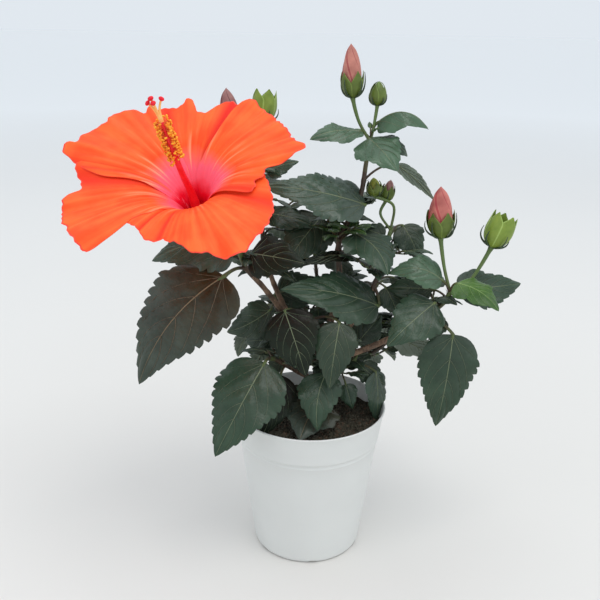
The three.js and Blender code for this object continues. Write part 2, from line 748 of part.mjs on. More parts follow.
function fillLeaves({ seed, count, first, last = 1, heading, sector, size }) {
  const random = seeded(seed);
  const [low, high] = sector;
  const [small, large] = size;
  return Array.from({ length: count }, (_, i) => {
    const at = first + ((last - first) * (i + 0.5)) / count;
    const turned = (((heading + FILL_RULE.golden * i - low) % 360) + 360) % 360;
    const turn = low + turned * ((high - low) / 360);
    const length = small + (large - small) * random();
    const rise = FILL_RULE.rise - FILL_RULE.fall * random();
    return {
      at,
      stalk: [turn, rise + 15, FILL_RULE.stalk + FILL_RULE.stalkMore * random()],
      blade: [length, turn + 30 * (random() - 0.5), rise - 25],
      face: [turn, FILL_RULE.face],
      arch: 0.05 + 0.08 * random(),
    };
  });
}

// Build

const material = (color, roughness) =>
  new THREE.MeshStandardMaterial({ color, roughness, metalness: 0 });
const FINISH = {
  pot: material(COLOURS.pot, 0.55),
  soil: material(COLOURS.soil, 0.95),
  bark: material(COLOURS.bark, 0.8),
  leaf: material(COLOURS.leaf, 0.5),
  petal: material(COLOURS.petal, 0.6),
};

const hibiscus = new THREE.Group();
const built = new Map();

function addPiece(name, solid, finish) {
  built.set(name, solid);
  hibiscus.add(meshOf(name, solid, finish));
}

// The names of the pieces, of those given, that a solid would touch.
const touched = (solid, pieces) =>
  [...pieces].filter(([, other]) => other.minGap(solid, CLEAR) < NEAR).map(([name]) => name);

addPiece("pot", potSolid(), FINISH.pot);
addPiece("soil", soilSolid(), FINISH.soil);
addPiece("trunk", trunkSolid(), FINISH.bark);
addPiece("bloom", bloomSolid(), FINISH.petal);

const grownTrunk = trunkSolid(CLEAR);
const parentOf = (shoot) =>
  shoot.from ? shootSolid(SHOOTS[shoot.from], 0, SHOOTS[shoot.from].bare, TWIG.limbSides, CLEAR) : grownTrunk;

for (const [name, shoot] of Object.entries(SHOOTS)) {
  if (!shoot.bare) continue;
  const limb = shootSolid(shoot, 0, shoot.bare, TWIG.limbSides).subtract(parentOf(shoot));
  addPiece(`limb_${name}`, mainBody(limb), FINISH.bark);
}

const stems = new Map();
for (const [name, shoot] of Object.entries(SHOOTS)) {
  const stem = shootSolid(shoot, stemStart(shoot), 1, TWIG.stemSides);
  stems.set(name, shoot.bare ? stem : mainBody(stem.subtract(grownTrunk)));
}

const skipped = [];
for (const [name, shoot] of Object.entries(SHOOTS)) {
  const stemCurve = new Stretch(shootCurve(shoot), stemStart(shoot), 1);
  let mass = stems.get(name);
  stems.delete(name);
  const { leaves = [], buds = [] } = FOLIAGE[name] ?? {};
  const sprigs = buds.map((bud) => budSolid(stemCurve, bud));
  sprigs.push(...leaves.map((leaf) => leafSolid(stemCurve, leaf)));
  if (FILL[name]) sprigs.push(...fillLeaves(FILL[name]).map((leaf) => leafSolid(stemCurve, leaf)));
  sprigs.forEach((sprig, index) => {
    const neighbours = touched(sprig, [...built, ...stems]);
    if (neighbours.length) skipped.push(`${name} ${index} touches ${neighbours}`);
    else mass = mass.add(sprig);
  });
  addPiece(`leaves_${name}`, mainBody(mass.simplify(FOLD)), FINISH.leaf);
}
hibiscus.userData.skipped = skipped;

export default hibiscus;
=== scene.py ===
"""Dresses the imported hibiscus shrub: bark, leaves, buds, the open flower, soil and pot.

Lengths in the tables are millimetres, and MM turns them into metres. Bearings are degrees:
0 is to the right, 90 is away from the front, and rise is above level. A share is a place
along a stem or leaf, from 0 at its foot to 1 at its tip.
"""
import logging
import math
from dataclasses import dataclass
from enum import Enum
from functools import cached_property

import bpy
import numpy as np
from bpy.types import Material, Mesh, NodeSocket, NodeTree, Object
from mathutils import Matrix, Vector, noise


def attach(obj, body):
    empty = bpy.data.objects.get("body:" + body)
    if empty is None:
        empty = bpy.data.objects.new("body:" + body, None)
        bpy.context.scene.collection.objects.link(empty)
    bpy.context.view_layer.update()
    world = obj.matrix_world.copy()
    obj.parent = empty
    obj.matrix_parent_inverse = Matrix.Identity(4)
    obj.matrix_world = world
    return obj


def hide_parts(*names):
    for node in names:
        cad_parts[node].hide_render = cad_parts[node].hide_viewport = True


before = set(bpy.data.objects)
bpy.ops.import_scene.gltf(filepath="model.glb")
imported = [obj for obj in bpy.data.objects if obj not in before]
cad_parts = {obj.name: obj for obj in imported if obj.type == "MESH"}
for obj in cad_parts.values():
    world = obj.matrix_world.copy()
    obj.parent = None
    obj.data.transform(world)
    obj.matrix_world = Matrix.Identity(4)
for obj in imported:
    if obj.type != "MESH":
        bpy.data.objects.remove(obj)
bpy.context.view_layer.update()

MM = 0.001
CLEAR = 0.3 * MM
UP = np.array([0.0, 0.0, 1.0])
GOLDEN = 137.5
TURN = 2 * math.pi
Array = np.ndarray
Pair = tuple[float, float]
Triple = tuple[float, float, float]
Colour = tuple[float, float, float]
Paint = Material | list[Material] | np.ndarray

log = logging.getLogger("hibiscus")


# Directions and curves


def bearing(heading: float, rise: float) -> Array:
    """Gives the unit vector of a heading, with 90 away from the front, and a rise.

    Args:
        heading: Degrees from the right, with 90 away from the front.
        rise: Degrees above level.

    Returns:
        The vector.
    """
    turn, lift = math.radians(heading), math.radians(rise)
    level = math.cos(lift)
    return np.array([level * math.cos(turn), level * math.sin(turn), math.sin(lift)])


def unit(vectors: Array) -> Array:
    """Gives vectors of length one, along the last axis."""
    return vectors / np.maximum(np.linalg.norm(vectors, axis=-1, keepdims=True), 1e-12)


def smooth(low: float, high: float, value: Array) -> Array:
    """Rises smoothly from 0 at low to 1 at high."""
    share = np.clip((np.asarray(value) - low) / (high - low), 0, 1)
    return share * share * (3 - 2 * share)


def blend(first: Colour, second: Colour, share: float) -> Colour:
    """Mixes two colours by the share of the second one."""
    return tuple(a + (b - a) * share for a, b in zip(first, second))


def on_grid(points: Array, rows: Array, columns: Array) -> Array:
    """Reads points between those of a grid.

    Args:
        points: The grid's points, by row and column.
        rows: Rows to read at, between whole ones too.
        columns: Columns to read at, one for each row.

    Returns:
        One point for each row that is read.
    """
    i = np.minimum(rows.astype(int), len(points) - 2)
    j = np.minimum(columns.astype(int), points.shape[1] - 2)
    a, b = (rows - i)[:, None], (columns - j)[:, None]
    near = points[i, j] * (1 - b) + points[i, j + 1] * b
    far = points[i + 1, j] * (1 - b) + points[i + 1, j + 1] * b
    return near * (1 - a) + far * a


def turned(points: Array, foot: Array, axis: Array) -> Array:
    """Stands points that grow along +Z at a foot, pointing along an axis."""
    turn = np.array(Vector(UP).rotation_difference(Vector(axis)).to_matrix())
    return points @ turn.T + foot


def bezier(controls: Array | list[Array], shares: Array) -> Array:
    """Reads points of a Bezier curve.

    Args:
        controls: Its control points, any number of them.
        shares: Where to read it, from 0 to 1.

    Returns:
        One point for each share.
    """
    weights = np.asarray(shares)[:, None]
    layers = [np.repeat(point[None, :], len(weights), axis=0) for point in controls]
    while len(layers) > 1:
        layers = [a * (1 - weights) + b * weights for a, b in zip(layers, layers[1:])]
    return layers[0]


def around(sides: int) -> Array:
    """Gives turns in radians that are spread evenly round a circle."""
    return TURN * np.arange(sides) / sides


def circled(radii: Array, turns: Array, heights: Array) -> Array:
    """Gives points by radius, turn in radians and height, over the shape that the three share."""
    places = np.broadcast_arrays(radii * np.cos(turns), radii * np.sin(turns), heights)
    return np.stack(places, axis=-1)


class Spline:
    """A centripetal Catmull-Rom curve, read by share of its length."""

    SAMPLES = 240
    NEAR = 0.005

    def __init__(self, points: list) -> None:
        """Samples the curve through its points.

        Args:
            points: The points that it runs through.
        """
        knots = np.asarray(points, float)
        padded = np.vstack([2 * knots[0] - knots[1], knots, 2 * knots[-1] - knots[-2]])
        places = np.linspace(0, len(knots) - 1, self.SAMPLES + 1)
        spans = np.minimum(places.astype(int), len(knots) - 2)
        weights = (places - spans)[:, None]
        p0, p1, p2, p3 = (padded[spans + step] for step in range(4))
        d0, d1, d2 = (
            np.maximum(np.linalg.norm(b - a, axis=1, keepdims=True), 1e-9) ** 0.5
            for a, b in ((p0, p1), (p1, p2), (p2, p3))
        )
        leave = ((p1 - p0) / d0 - (p2 - p0) / (d0 + d1) + (p2 - p1) / d1) * d1
        arrive = ((p2 - p1) / d1 - (p3 - p1) / (d1 + d2) + (p3 - p2) / d2) * d1
        square = 3 * (p2 - p1) - 2 * leave - arrive
        cube = 2 * (p1 - p2) + leave + arrive
        self.samples = ((cube * weights + square) * weights + leave) * weights + p1
        steps = np.linalg.norm(np.diff(self.samples, axis=0), axis=1)
        self.reach = np.concatenate([[0.0], np.cumsum(steps)])
        self.length = float(self.reach[-1])

    def at(self, shares: float | Array) -> Array:
        """Gives the points at shares of the length.

        Args:
            shares: Shares from 0 to 1.

        Returns:
            One point for each share.
        """
        distance = np.clip(shares, 0, 1) * self.length
        axes = [np.interp(distance, self.reach, axis) for axis in self.samples.T]
        return np.stack(axes, axis=-1)

    def tangent(self, share: float) -> Array:
        """Gives the unit direction of the curve at a share of its length."""
        return unit(self.at(share + self.NEAR) - self.at(share - self.NEAR))


def frames(path: Array, up: Array | None = None) -> tuple[Array, Array]:
    """Gives the two directions across each point of a path.

    Args:
        path: The points of the path.
        up: The direction that the second one keeps to; without it they don't twist.

    Returns:
        The side and the normal at each point.
    """
    tangents = unit(np.gradient(path, axis=0))
    if up is not None:
        sides = unit(np.cross(up, tangents))
        return sides, np.cross(tangents, sides)
    steep = abs(tangents[0][2]) >= 0.9
    side = np.cross(tangents[0], np.array([1.0, 0.0, 0.0]) if steep else UP)
    sides = []
    for tangent in tangents:
        side = unit(side - tangent * np.dot(side, tangent))
        sides.append(side)
    sides = np.array(sides)
    return sides, np.cross(tangents, sides)


class Seeded:
    """The generator of numbers from 0 to 1 that places the fill leaves."""

    FACTOR = 1664525
    STEP = 1013904223
    SPAN = 4294967296

    def __init__(self, seed: int) -> None:
        """Starts at a seed."""
        self.state = seed

    def next(self) -> float:
        """Gives the next number."""
        self.state = (self.FACTOR * self.state + self.STEP) % self.SPAN
        return self.state / self.SPAN


# Meshes


def corners(rows: int, columns: int) -> Array:
    """Gives the corners, by index, of each face of a grid of rows and columns of points."""
    first = (np.arange(rows - 1)[:, None] * columns + np.arange(columns - 1)).ravel()
    return np.stack([first, first + columns, first + columns + 1, first + 1], axis=-1)


def placed(name: str, data: bpy.types.ID) -> Object:
    """Makes an object in the scene.

    Args:
        name: Its name.
        data: Its mesh, light or camera.

    Returns:
        The object.
    """
    thing = bpy.data.objects.new(name, data)
    bpy.context.scene.collection.objects.link(thing)
    return thing


def evaluated(thing: Object) -> Mesh:
    """Gives the plain mesh that an object's modifiers make, and removes them.

    Args:
        thing: The object.

    Returns:
        The mesh.
    """
    graph = bpy.context.evaluated_depsgraph_get()
    mesh = bpy.data.meshes.new_from_object(thing.evaluated_get(graph), depsgraph=graph)
    thing.modifiers.clear()
    return mesh


def shade(mesh: Mesh, soft: bool) -> None:
    """Shades every face of a mesh smooth or flat."""
    mesh.polygons.foreach_set("use_smooth", np.full(len(mesh.polygons), soft))


class Mesher:
    """Gathers the faces of one piece and makes its object."""

    ROUNDING = 0.5

    def __init__(self, name: str) -> None:
        """Starts an empty piece.

        Args:
            name: The name of its object.
        """
        self.name = name
        self.count = 0
        self.points: list[Array] = []
        self.rims: list[Array] = []
        self.faces: dict[int, list[Array]] = {4: [], 3: []}
        self.face_slots: dict[int, list[Array]] = {4: [], 3: []}
        self.materials: list[Material] = []
        self.values: dict[str, list[tuple[int, Array]]] = {}

    def slot(self, material: Material) -> int:
        """Gives the slot of a material, which is added when it is new.

        Args:
            material: The material.

        Returns:
            Its number.
        """
        if material not in self.materials:
            self.materials.append(material)
        return self.materials.index(material)

    def add(self, points: Array, *faces: tuple[Array, Array], rim: Array | None = None,
            values: dict[str, Array] | None = None) -> None:
        """Adds points and faces.

        Args:
            points: New points.
            faces: Faces of four or of three corners, by index into points, with their slots.
            rim: True for each point on a sharp rim.
            values: Named numbers, one for each point.
        """
        self.points.append(points)
        self.rims.append(np.zeros(len(points), bool) if rim is None else rim)
        for indices, slots in faces:
            self.faces[indices.shape[1]].append(indices + self.count)
            self.face_slots[indices.shape[1]].append(slots)
        for name, numbers in (values or {}).items():
            self.values.setdefault(name, []).append((self.count, numbers))
        self.count += len(points)

    def skin(self, rings: Array, start: Array, end: Array, paint: Paint) -> None:
        """Closes a body over rings of points, with one point at each end.

        Args:
            rings: Points by ring and place round it, turning about the way the rings go.
            start: The point that closes the first ring.
            end: The point that closes the last ring.
            paint: The body's material, or one for each strip, or the slot of each side.
        """
        steps, sides = rings.shape[:2]
        ring = np.arange(sides)
        after = (ring + 1) % sides
        rows = np.arange(steps - 1)[:, None] * sides
        quads = np.stack([rows + ring, rows + after, rows + sides + after, rows + sides + ring], axis=-1)
        first, last, top = steps * sides, steps * sides + 1, (steps - 1) * sides
        caps = np.vstack([
            np.stack([np.full(sides, first), after, ring], axis=-1),
            np.stack([np.full(sides, last), top + ring, top + after], axis=-1),
        ])
        if not isinstance(paint, np.ndarray):
            paints = paint if isinstance(paint, list) else [paint]
            paint = np.array([[self.slot(material)] for material in paints])
        slots = np.broadcast_to(paint, (steps - 1, sides))
        self.add(np.vstack([rings.reshape(-1, 3), start, end]), (quads.reshape(-1, 4), slots.ravel()),
                 (caps, slots[[0, -1]].ravel()))

    def tube(self, path: Array, radii: Array, sides: int, paint: Paint,
             up: Array | None = None, flat: float | Array = 1.0) -> None:
        """Adds a closed tube with rounded ends.

        Args:
            path: Its middle line.
            radii: Its radius at each point, or at each point and side.
            sides: Corners of its section.
            paint: Its material, or one for each stretch of the path.
            up: The direction that the section's height keeps to.
            flat: The section's height over its width, for all or for each point.
        """
        side, normal = frames(path, up)
        turn = around(sides)
        radii = np.broadcast_to(np.asarray(radii, float).reshape(len(path), -1), (len(path), sides))
        across = side[:, None] * np.cos(turn)[:, None]
        over = (normal * np.reshape(flat, (-1, 1)))[:, None] * np.sin(turn)[:, None]
        rings = path[:, None] + (across + over) * radii[..., None]
        start = path[0] - unit(path[1] - path[0]) * radii[0].mean() * self.ROUNDING
        end = path[-1] + unit(path[-1] - path[-2]) * radii[-1].mean() * self.ROUNDING
        self.skin(rings, start, end, paint)

    def sheet(self, middle: Array, normals: Array, thickness: float, top: Array,
              under: Material, values: dict[str, Array] | None = None) -> None:
        """Adds a thin closed sheet whose two faces meet at a sharp rim.

        Args:
            middle: Its middle surface, by row and column.
            normals: The direction of its top face, one for all or one for each point.
            thickness: Its thickness.
            top: The slot of each face on top, by row and column.
            under: The material of the under face.
            values: Named numbers for the points of the grid.
        """
        rows, columns = middle.shape[:2]
        rim = np.zeros((rows, columns), bool)
        rim[[0, -1], :] = True
        rim[:, [0, -1]] = True
        rim = rim.ravel()
        flat = middle.reshape(-1, 3)
        lift = np.broadcast_to(normals, middle.shape).reshape(-1, 3) * thickness / 2
        upper = np.where(rim[:, None], flat, flat + lift)
        lower = (flat - lift)[~rim]
        below = np.arange(len(flat))
        below[~rim] = len(flat) + np.arange(len(lower))
        quads = corners(rows, columns)
        slots = np.concatenate([np.broadcast_to(top, (rows - 1, columns - 1)).ravel(),
                                np.full(len(quads), self.slot(under))])
        both = {name: np.concatenate([np.ravel(n), np.ravel(n)[~rim]])
                for name, n in (values or {}).items()}
        sharp = np.concatenate([rim, np.zeros(len(lower), bool)])
        # The faces below are split along the same diagonal as those on top
        quads = np.vstack([quads, below[quads][:, [0, 3, 2, 1]]])
        self.add(np.vstack([upper, lower]), (quads, slots), rim=sharp, values=both)

    def patch(self, points: Array, material: Material, flip: bool = False) -> None:
        """Adds an open grid of faces, for what only carries a scatter.

        Args:
            points: The grid's points, by row and column.
            material: Its material.
            flip: Whether the faces look the other way.
        """
        quads = corners(*points.shape[:2])[:, [0, 3, 2, 1]]
        slots = np.full(len(quads), self.slot(material))
        self.add(points.reshape(-1, 3), (quads[:, ::-1] if flip else quads, slots))

    def mesh(self) -> Mesh:
        """Makes the mesh of all that was added.

        Returns:
            The mesh.
        """
        points = np.vstack(self.points)
        faces = self.faces[4] + self.faces[3]
        slots = np.concatenate(self.face_slots[4] + self.face_slots[3])
        loops = np.concatenate([face.ravel() for face in faces])
        sizes = np.concatenate([np.full(len(face), face.shape[1]) for face in faces])
        mesh = bpy.data.meshes.new(self.name)
        mesh.vertices.add(len(points))
        mesh.vertices.foreach_set("co", points.astype(np.float32).ravel())
        mesh.loops.add(len(loops))
        mesh.loops.foreach_set("vertex_index", loops.astype(np.int32))
        mesh.polygons.add(len(sizes))
        mesh.polygons.foreach_set("loop_start", (np.cumsum(sizes) - sizes).astype(np.int32))
        mesh.polygons.foreach_set("material_index", slots.astype(np.int32))
        mesh.update(calc_edges=True)
        for material in self.materials:
            mesh.materials.append(material)
        for name, parts in self.values.items():
            numbers = np.zeros(self.count, np.float32)
            for offset, part in parts:
                numbers[offset:offset + len(part)] = part
            mesh.attributes.new(name, "FLOAT", "POINT").data.foreach_set("value", numbers)
        rim = np.concatenate(self.rims)
        if rim.any():
            ends = np.zeros(len(mesh.edges) * 2, np.int32)
            mesh.edges.foreach_get("vertices", ends)
            sharp = rim[ends.reshape(-1, 2)].all(axis=1)
            mesh.attributes.new("sharp_edge", "BOOLEAN", "EDGE").data.foreach_set("value", sharp)
        shade(mesh, True)
        mesh.validate()
        return mesh

    def piece(self, slot: str, *nodes: str) -> None:
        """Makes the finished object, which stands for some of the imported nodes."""
        settle(placed(self.name, self.mesh()), slot, *nodes)


def settle(thing: Object, slot: str, *nodes: str) -> None:
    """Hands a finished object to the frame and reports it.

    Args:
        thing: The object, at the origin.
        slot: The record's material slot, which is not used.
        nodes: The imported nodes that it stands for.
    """
    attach(thing, "root")
    if nodes:
        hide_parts(*nodes)
    log.info("%s: %d faces", thing.name, len(thing.data.polygons))


# Finishes


class Nodes:
    """Wires the nodes of one material."""

    # The colours among the mix node's sockets
    MIX_LOW = 6
    MIX_HIGH = 7
    MIXED = 2

    def __init__(self, name: str) -> None:
        """Starts a material with its shader and output.

        Args:
            name: The material's name.
        """
        material = bpy.data.materials.new(name)
        material.use_nodes = True
        self.tree = material.node_tree
        self.tree.nodes.clear()
        self.shader = self.tree.nodes.new("ShaderNodeBsdfPrincipled")
        output = self.tree.nodes.new("ShaderNodeOutputMaterial")
        self.tree.links.new(self.shader.outputs["BSDF"], output.inputs["Surface"])
        self.place = self.wired("ShaderNodeTexCoord", "Object", {})

    def wired(self, kind: str, output: str | int, inputs: dict, **settings: str) -> NodeSocket:
        """Adds a node.

        Args:
            kind: Its type.
            output: The output that is wanted.
            inputs: A socket to join or a plain value to set, by each input's name or number.
            settings: Its properties.

        Returns:
            The output.
        """
        node = self.tree.nodes.new(kind)
        for name, value in settings.items():
            setattr(node, name, value)
        for key, value in inputs.items():
            if isinstance(value, NodeSocket):
                self.tree.links.new(value, node.inputs[key])
            else:
                node.inputs[key].default_value = value
        return node.outputs[output]

    def stretched(self, stretch: Triple) -> NodeSocket:
        """Gives the object's coordinates, stretched by a factor along each axis."""
        return self.wired("ShaderNodeMapping", "Vector", {"Vector": self.place, "Scale": stretch})

    def noise(self, vector: NodeSocket, scale: float, detail: float = 3.0) -> NodeSocket:
        """Gives a noise from 0 to 1 over a vector, as fine as its scale."""
        inputs = {"Vector": vector, "Scale": scale, "Detail": detail}
        return self.wired("ShaderNodeTexNoise", "Fac", inputs)

    def cells(self, feature: str, scale: float) -> NodeSocket:
        """Gives how far a place is from the middle or the edge of its cell."""
        inputs = {"Vector": self.place, "Scale": scale}
        return self.wired("ShaderNodeTexVoronoi", "Distance", inputs, feature=feature)

    def ramp(self, source: NodeSocket, stops: list[tuple[float, Colour]]) -> NodeSocket:
        """Turns a number into colours.

        Args:
            source: The number.
            stops: Positions with their colours.

        Returns:
            The colour.
        """
        colour = self.wired("ShaderNodeValToRGB", "Color", {"Fac": source})
        elements = colour.node.color_ramp.elements
        while len(elements) < len(stops):
            elements.new(0.5)
        for element, (position, paint) in zip(elements, stops):
            element.position = position
            element.color = (*paint, 1.0)
        return colour

    def fade(self, source: NodeSocket, *stops: Pair) -> NodeSocket:
        """Turns a number into a share, by stops of number and share."""
        return self.ramp(source, [(place, (share,) * 3) for place, share in stops])

    def mix(self, share: NodeSocket, low: NodeSocket | Colour, high: NodeSocket | Colour) -> NodeSocket:
        """Mixes two colours by the share of the second one.

        Args:
            share: The share.
            low: The first colour.
            high: The second colour.

        Returns:
            The mixed colour.
        """
        first, second = ((*end, 1.0) if isinstance(end, tuple) else end for end in (low, high))
        inputs = {"Factor": share, self.MIX_LOW: first, self.MIX_HIGH: second}
        return self.wired("ShaderNodeMix", self.MIXED, inputs, data_type="RGBA")

    def maths(self, operation: str, first: NodeSocket, second: NodeSocket | float) -> NodeSocket:
        """Works out one sum of two numbers."""
        return self.wired("ShaderNodeMath", "Value", {0: first, 1: second}, operation=operation)

    def value(self, name: str) -> NodeSocket:
        """Reads a named number of the mesh."""
        return self.wired("ShaderNodeAttribute", "Fac", {}, attribute_name=name)

    def bump(self, height: NodeSocket, depth: float, strength: float = 1.0) -> None:
        """Raises the surface, over earlier bumps.

        Args:
            height: The height, from 0 to 1.
            depth: What a height of 1 stands for, in metres.
            strength: How much of it shows.
        """
        normal = self.shader.inputs["Normal"]
        inputs = {"Height": height, "Distance": depth, "Strength": strength}
        if normal.is_linked:
            inputs["Normal"] = normal.links[0].from_socket
        self.tree.links.new(self.wired("ShaderNodeBump", "Normal", inputs), normal)

    def colour(self, source: NodeSocket) -> None:
        """Sets the surface's colour."""
        self.tree.links.new(source, self.shader.inputs["Base Color"])

    def so_far(self) -> NodeSocket:
        """Gives the surface's colour so far."""
        return self.shader.inputs["Base Color"].links[0].from_socket

    def dot(self, scale: float, size: float, colour: Colour) -> None:
        """Paints scattered dots, of a size over the space between them, on the colour so far."""
        share = self.fade(self.cells("F1", scale), (size * 0.7, 1.0), (size, 0.0))
        self.colour(self.mix(share, self.so_far(), colour))

    def set(self, **numbers: float) -> None:
        """Sets numbers that are the same all over the surface."""
        for name, number in numbers.items():
            self.shader.inputs[name.replace("_", " ")].default_value = number


@dataclass(frozen=True)
class Finish:
    """A mottled surface with a fine grain."""

    name: str
    dark: Colour
    light: Colour
    rough: float = 0.6
    mottle: float = 60.0
    grain: float = 900.0
    depth: float = 0.1 * MM
    gloss: float = 0.5
    stretch: Triple = (1.0, 1.0, 1.0)

    def material(self) -> Material:
        """Makes the material, or finds the one that was made before.

        Returns:
            The material.
        """
        if self.name not in bpy.data.materials:
            self.dress(Nodes(self.name))
        return bpy.data.materials[self.name]

    def dress(self, nodes: Nodes) -> None:
        """Wires the colour, gloss and grain.

        Args:
            nodes: The material's nodes.
        """
        place = nodes.stretched(self.stretch)
        mottle = nodes.noise(place, self.mottle)
        nodes.colour(nodes.ramp(mottle, [(0.3, self.dark), (0.7, self.light)]))
        nodes.bump(nodes.noise(place, self.grain, 2.0), self.depth)
        nodes.set(Roughness=self.rough, Specular_IOR_Level=self.gloss)


@dataclass(frozen=True)
class LeafFinish(Finish):
    """A leaf's upper side, dimpled between its small veins."""

    def dress(self, nodes: Nodes) -> None:
        """Wires the colour, the dimples and a soft gloss."""
        super().dress(nodes)
        nodes.bump(nodes.cells("DISTANCE_TO_EDGE", 380.0), 0.35 * MM, 0.6)


@dataclass(frozen=True)
class PetalFinish(Finish):
    """A petal: deep throat, pink glow, pale rays, a bright blade and painted shade in its creases, by its
    own numbers.
    """

    throat: Colour = (0.60, 0.0, 0.008)
    heart: Colour = (0.90, 0.006, 0.040)
    glow: Colour = (1.0, 0.165, 0.250)
    halo: Colour = (1.0, 0.200, 0.160)
    ray: Colour = (1.0, 0.42, 0.26)
    # The colour of painted shade in the creases and under the edges of neighbouring petals
    crease: Colour = (0.80, 0.020, 0.008)
    rays: float = 11.0

    def dress(self, nodes: Nodes) -> None:
        """Wires the colours along the petal, its rays, the painted shade in its creases and its fine ribs.

        Args:
            nodes: The material's nodes.
        """
        reach, across = nodes.value("reach"), nodes.value("across")
        place = nodes.stretched(self.stretch)
        mottle = nodes.noise(place, self.mottle)
        lane = {"X": nodes.maths("MULTIPLY", across, self.rays), "Y": nodes.maths("MULTIPLY", reach, 1.5)}
        streak = nodes.noise(nodes.wired("ShaderNodeCombineXYZ", "Vector", lane), 1.0)
        coarse, fine = nodes.maths("MULTIPLY", streak, 0.6), nodes.maths("MULTIPLY", mottle, 0.4)
        band = nodes.maths("ADD", coarse, fine)
        blade = nodes.ramp(band, [(0.40, self.dark), (0.60, self.light)])
        wander = nodes.maths("MULTIPLY", nodes.maths("SUBTRACT", mottle, 0.5), 0.2)
        along = nodes.maths("ADD", reach, wander)
        inner = nodes.ramp(along, [(0.06, self.throat), (0.12, self.heart), (0.19, self.glow),
                                   (0.26, self.glow), (0.36, self.halo)])
        body = nodes.mix(nodes.fade(along, (0.26, 0.0), (0.40, 1.0)), inner, blade)
        lines = nodes.fade(streak, (0.57, 0.0), (0.66, 1.0))
        reaches = nodes.fade(reach, (0.20, 0.0), (0.30, 0.75), (0.42, 0.4), (0.62, 0.0))
        drawn = nodes.mix(nodes.maths("MULTIPLY", lines, reaches), body, self.ray)
        # Painted shade: the crease depth darkens the colour towards the crease colour
        nodes.colour(nodes.mix(nodes.maths("MULTIPLY", nodes.value("fold"), 0.8), drawn, self.crease))
        nodes.bump(streak, 0.6 * MM, 0.8)
        nodes.bump(nodes.noise(place, self.grain, 2.0), self.depth)
        nodes.set(Roughness=self.rough, Specular_IOR_Level=self.gloss)


@dataclass(frozen=True)
class BarkFinish(Finish):
    """Young bark: long fine cracks and pale pores."""

    def dress(self, nodes: Nodes) -> None:
        """Wires the colour, the cracks with painted shade in them, and the pores.

        Args:
            nodes: The material's nodes.
        """
        super().dress(nodes)
        cracks = nodes.noise(nodes.stretched((1.0, 1.0, 0.16)), 900.0, 5.0)
        nodes.bump(cracks, 0.6 * MM, 0.9)
        # Painted shade: the sunken cracks are darkened towards the dark colour
        nodes.colour(nodes.mix(nodes.fade(cracks, (0.36, 0.85), (0.5, 0.0)), nodes.so_far(), self.dark))
        nodes.dot(240.0, 0.15, self.light)


@dataclass(frozen=True)
class PlasticFinish(Finish):
    """Matte moulded plastic with a few specks of soil."""

    speck: Colour = (0.30, 0.27, 0.24)

    def dress(self, nodes: Nodes) -> None:
        """Wires the colour, the specks and the soft moulding grain."""
        super().dress(nodes)
        nodes.dot(34.0, 0.028, self.speck)


def pair(name: str, first: tuple[Colour, Colour], second: tuple[Colour, Colour], rough: float = 0.5,
         mottle: float = 60.0, mark: str = "side") -> tuple[Finish, Finish]:
    """Gives two finishes that go together, each from its dark and its light colour."""
    return Finish(name, *first, rough, mottle), Finish(f"{name}_{mark}", *second, rough, mottle)


# Each leaf's midrib and its fainter side veins
VEIN = pair("leaf_vein", ((0.130, 0.160, 0.085), (0.185, 0.220, 0.125)),
            ((0.074, 0.100, 0.056), (0.112, 0.142, 0.082)))
TAN_VEIN = pair("leaf_vein_tan", ((0.170, 0.125, 0.065), (0.250, 0.190, 0.105)),
                ((0.100, 0.076, 0.044), (0.155, 0.120, 0.070)))
FRESH_VEIN = pair("leaf_vein_fresh", ((0.160, 0.260, 0.070), (0.230, 0.340, 0.110)),
                  ((0.105, 0.190, 0.048), (0.160, 0.260, 0.076)))
UNDERSIDE = LeafFinish("leaf_under", (0.115, 0.150, 0.112), (0.160, 0.200, 0.150), 0.6)
LEAF_ROUGH = 0.36


def leaf_shades(name: str, dark: Colour, light: Colour, tip_dark: Colour, tip_light: Colour,
                gloss: float = 0.45, count: int = 3) -> tuple[LeafFinish, ...]:
    """Gives a row of leaf finishes, from one for the blade's foot to one for its tip.

    Args:
        name: The leaf colour's name.
        dark: The darker colour of the blade's foot.
        light: The lighter one.
        tip_dark: The darker colour of its tip.
        tip_light: The lighter one.
        gloss: How strongly it shines.
        count: How many finishes.

    Returns:
        The finishes.
    """
    shares = [k / (count - 1) for k in range(count)]
    return tuple(
        LeafFinish(f"leaf_{name}_{k}", blend(dark, tip_dark, share), blend(light, tip_light, share),
                   LEAF_ROUGH, gloss=gloss)
        for k, share in enumerate(shares)
    )


